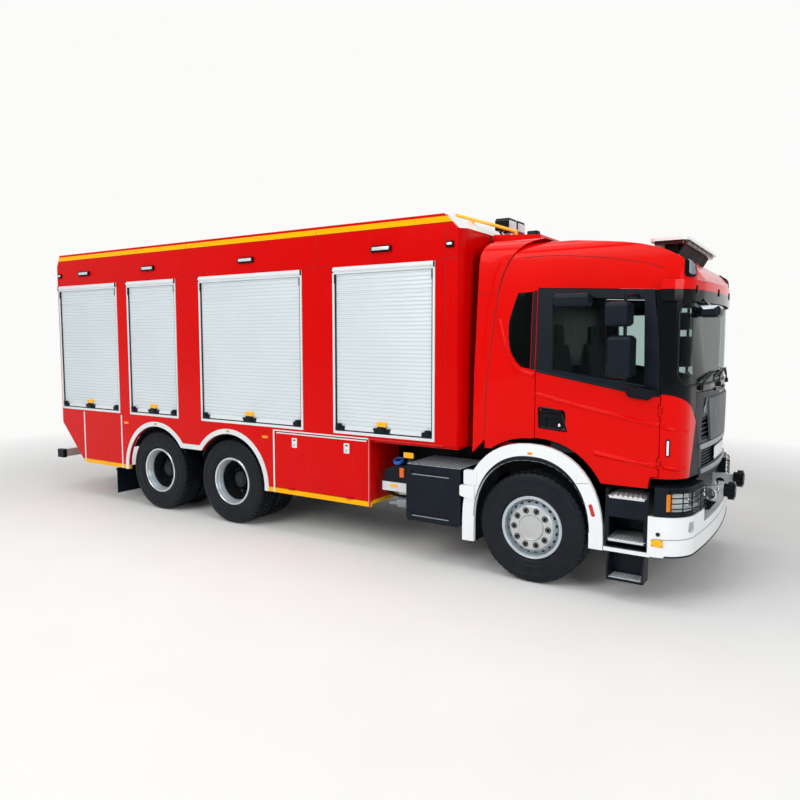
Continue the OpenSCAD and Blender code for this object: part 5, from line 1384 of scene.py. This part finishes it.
plain = calc(tree, "MULTIPLY", seen, ramp(tree, distance, NEAR_M, FAR_M))
white = add(tree, "Emission", {"Color": srgb("#FBFBFA"), "Strength": 1.0}).outputs[0]
floor_mix = add(tree, "MixShader", {0: plain, 1: matte.outputs[0], 2: white})
add(tree, "OutputMaterial", {"Surface": floor_mix.outputs[0]})
turn = np.linspace(0, math.pi / 2, 25)
level_part = np.c_[np.linspace(-30, 13.5, 30), np.zeros(30)]
curve = np.c_[FLAT_END + CURVE_R * np.sin(turn), CURVE_R - CURVE_R * np.cos(turn)]
line = np.r_[level_part, curve, [[FLAT_END + CURVE_R, WALL_TOP]]]
yaw = math.radians(FLOOR_DEG)
ahead, right = np.array([-math.sin(yaw), math.cos(yaw), 0]), np.array([math.cos(yaw), math.sin(yaw), 0])
width = np.linspace(-45, 45, 31)
points = line[:, None, :1] * ahead + width[None, :, None] * right + line[:, None, 1:] * Z
flat, (quads,) = grid(points)
mesh = bpy.data.meshes.new("floor")
mesh.from_pydata(flat.tolist(), [], quads.tolist())
mesh.materials.append(concrete)
mesh.polygons.foreach_set("use_smooth", np.ones(len(quads), bool))
floor = bpy.data.objects.new("floor", mesh)
bpy.context.scene.collection.objects.link(floor)
print("floor faces:", len(quads))

# %% [markdown]
# The photo's light is soft and comes from all round, so the sky is a pale even white and three large
# softboxes add direction: a key from the right, one from the front, and one from above. The sky lights at
# half strength but shows at full to the camera, so the background stays white.

# %% World and lights
world = bpy.data.worlds.new("studio")
world.use_nodes = True
sky = world.node_tree
half_seen = calc(sky, "MULTIPLY", add(sky, "LightPath").outputs["Is Camera Ray"], 0.5)
sky.nodes["Background"].inputs[0].default_value = srgb("#F4F6F8")
sky.links.new(calc(sky, "ADD", half_seen, 0.5), sky.nodes["Background"].inputs[1])
bpy.context.scene.world = world


def aim(obj, spot, direction):
    """Sets an object at spot, looking along direction, and adds it to the scene."""
    obj.location = spot
    obj.rotation_euler = Vector(direction).to_track_quat("-Z", "Y").to_euler()
    bpy.context.scene.collection.objects.link(obj)


def softbox(name, spot, target, size, watts):
    """A square area light that looks from spot to target, both in metres."""
    lamp = bpy.data.lights.new(name, "AREA")
    lamp.size, lamp.energy = size, watts
    aim(bpy.data.objects.new(name, lamp), spot, Vector(target) - Vector(spot))


softbox("key", (-2.0, -13.0, 10.0), (0, 0, 1.5), 8, 940)
softbox("front", (12.5, -6.0, 6.0), (3, 0, 1.8), 6, 440)
softbox("top", (0.0, -1.0, 13.0), (0, 0, 2), 10, 640)
print("lights:", len(bpy.data.lights))

# %% [markdown]
# The camera was solved from the wheels in the photo: its place, turn and tilt, its focal length in pixels
# of an 800 pixel picture, and a small shift of the picture's centre.

# %% Camera
SENSOR_MM, FOCAL_PX, PICTURE_PX = 36.0, 690.41, 800
YAW_DEG, PITCH_DEG = 32.5445, 4.7784
view = bpy.data.cameras.new("photo camera")
view.sensor_width, view.lens = SENSOR_MM, SENSOR_MM * FOCAL_PX / PICTURE_PX
view.shift_x, view.shift_y = 0.00124, -0.00435
camera = bpy.data.objects.new("photo camera", view)
yaw, pitch = math.radians(YAW_DEG), math.radians(PITCH_DEG)
look = (-math.sin(yaw) * math.cos(pitch), math.cos(yaw) * math.cos(pitch), -math.sin(pitch))
aim(camera, ((2366.8 + AXLE_X) / 1000, -7.2225, 2.287), look)
bpy.context.scene.camera = camera
bpy.context.scene.view_settings.view_transform = "Standard"
print("camera lens:", round(view.lens, 2), "mm")
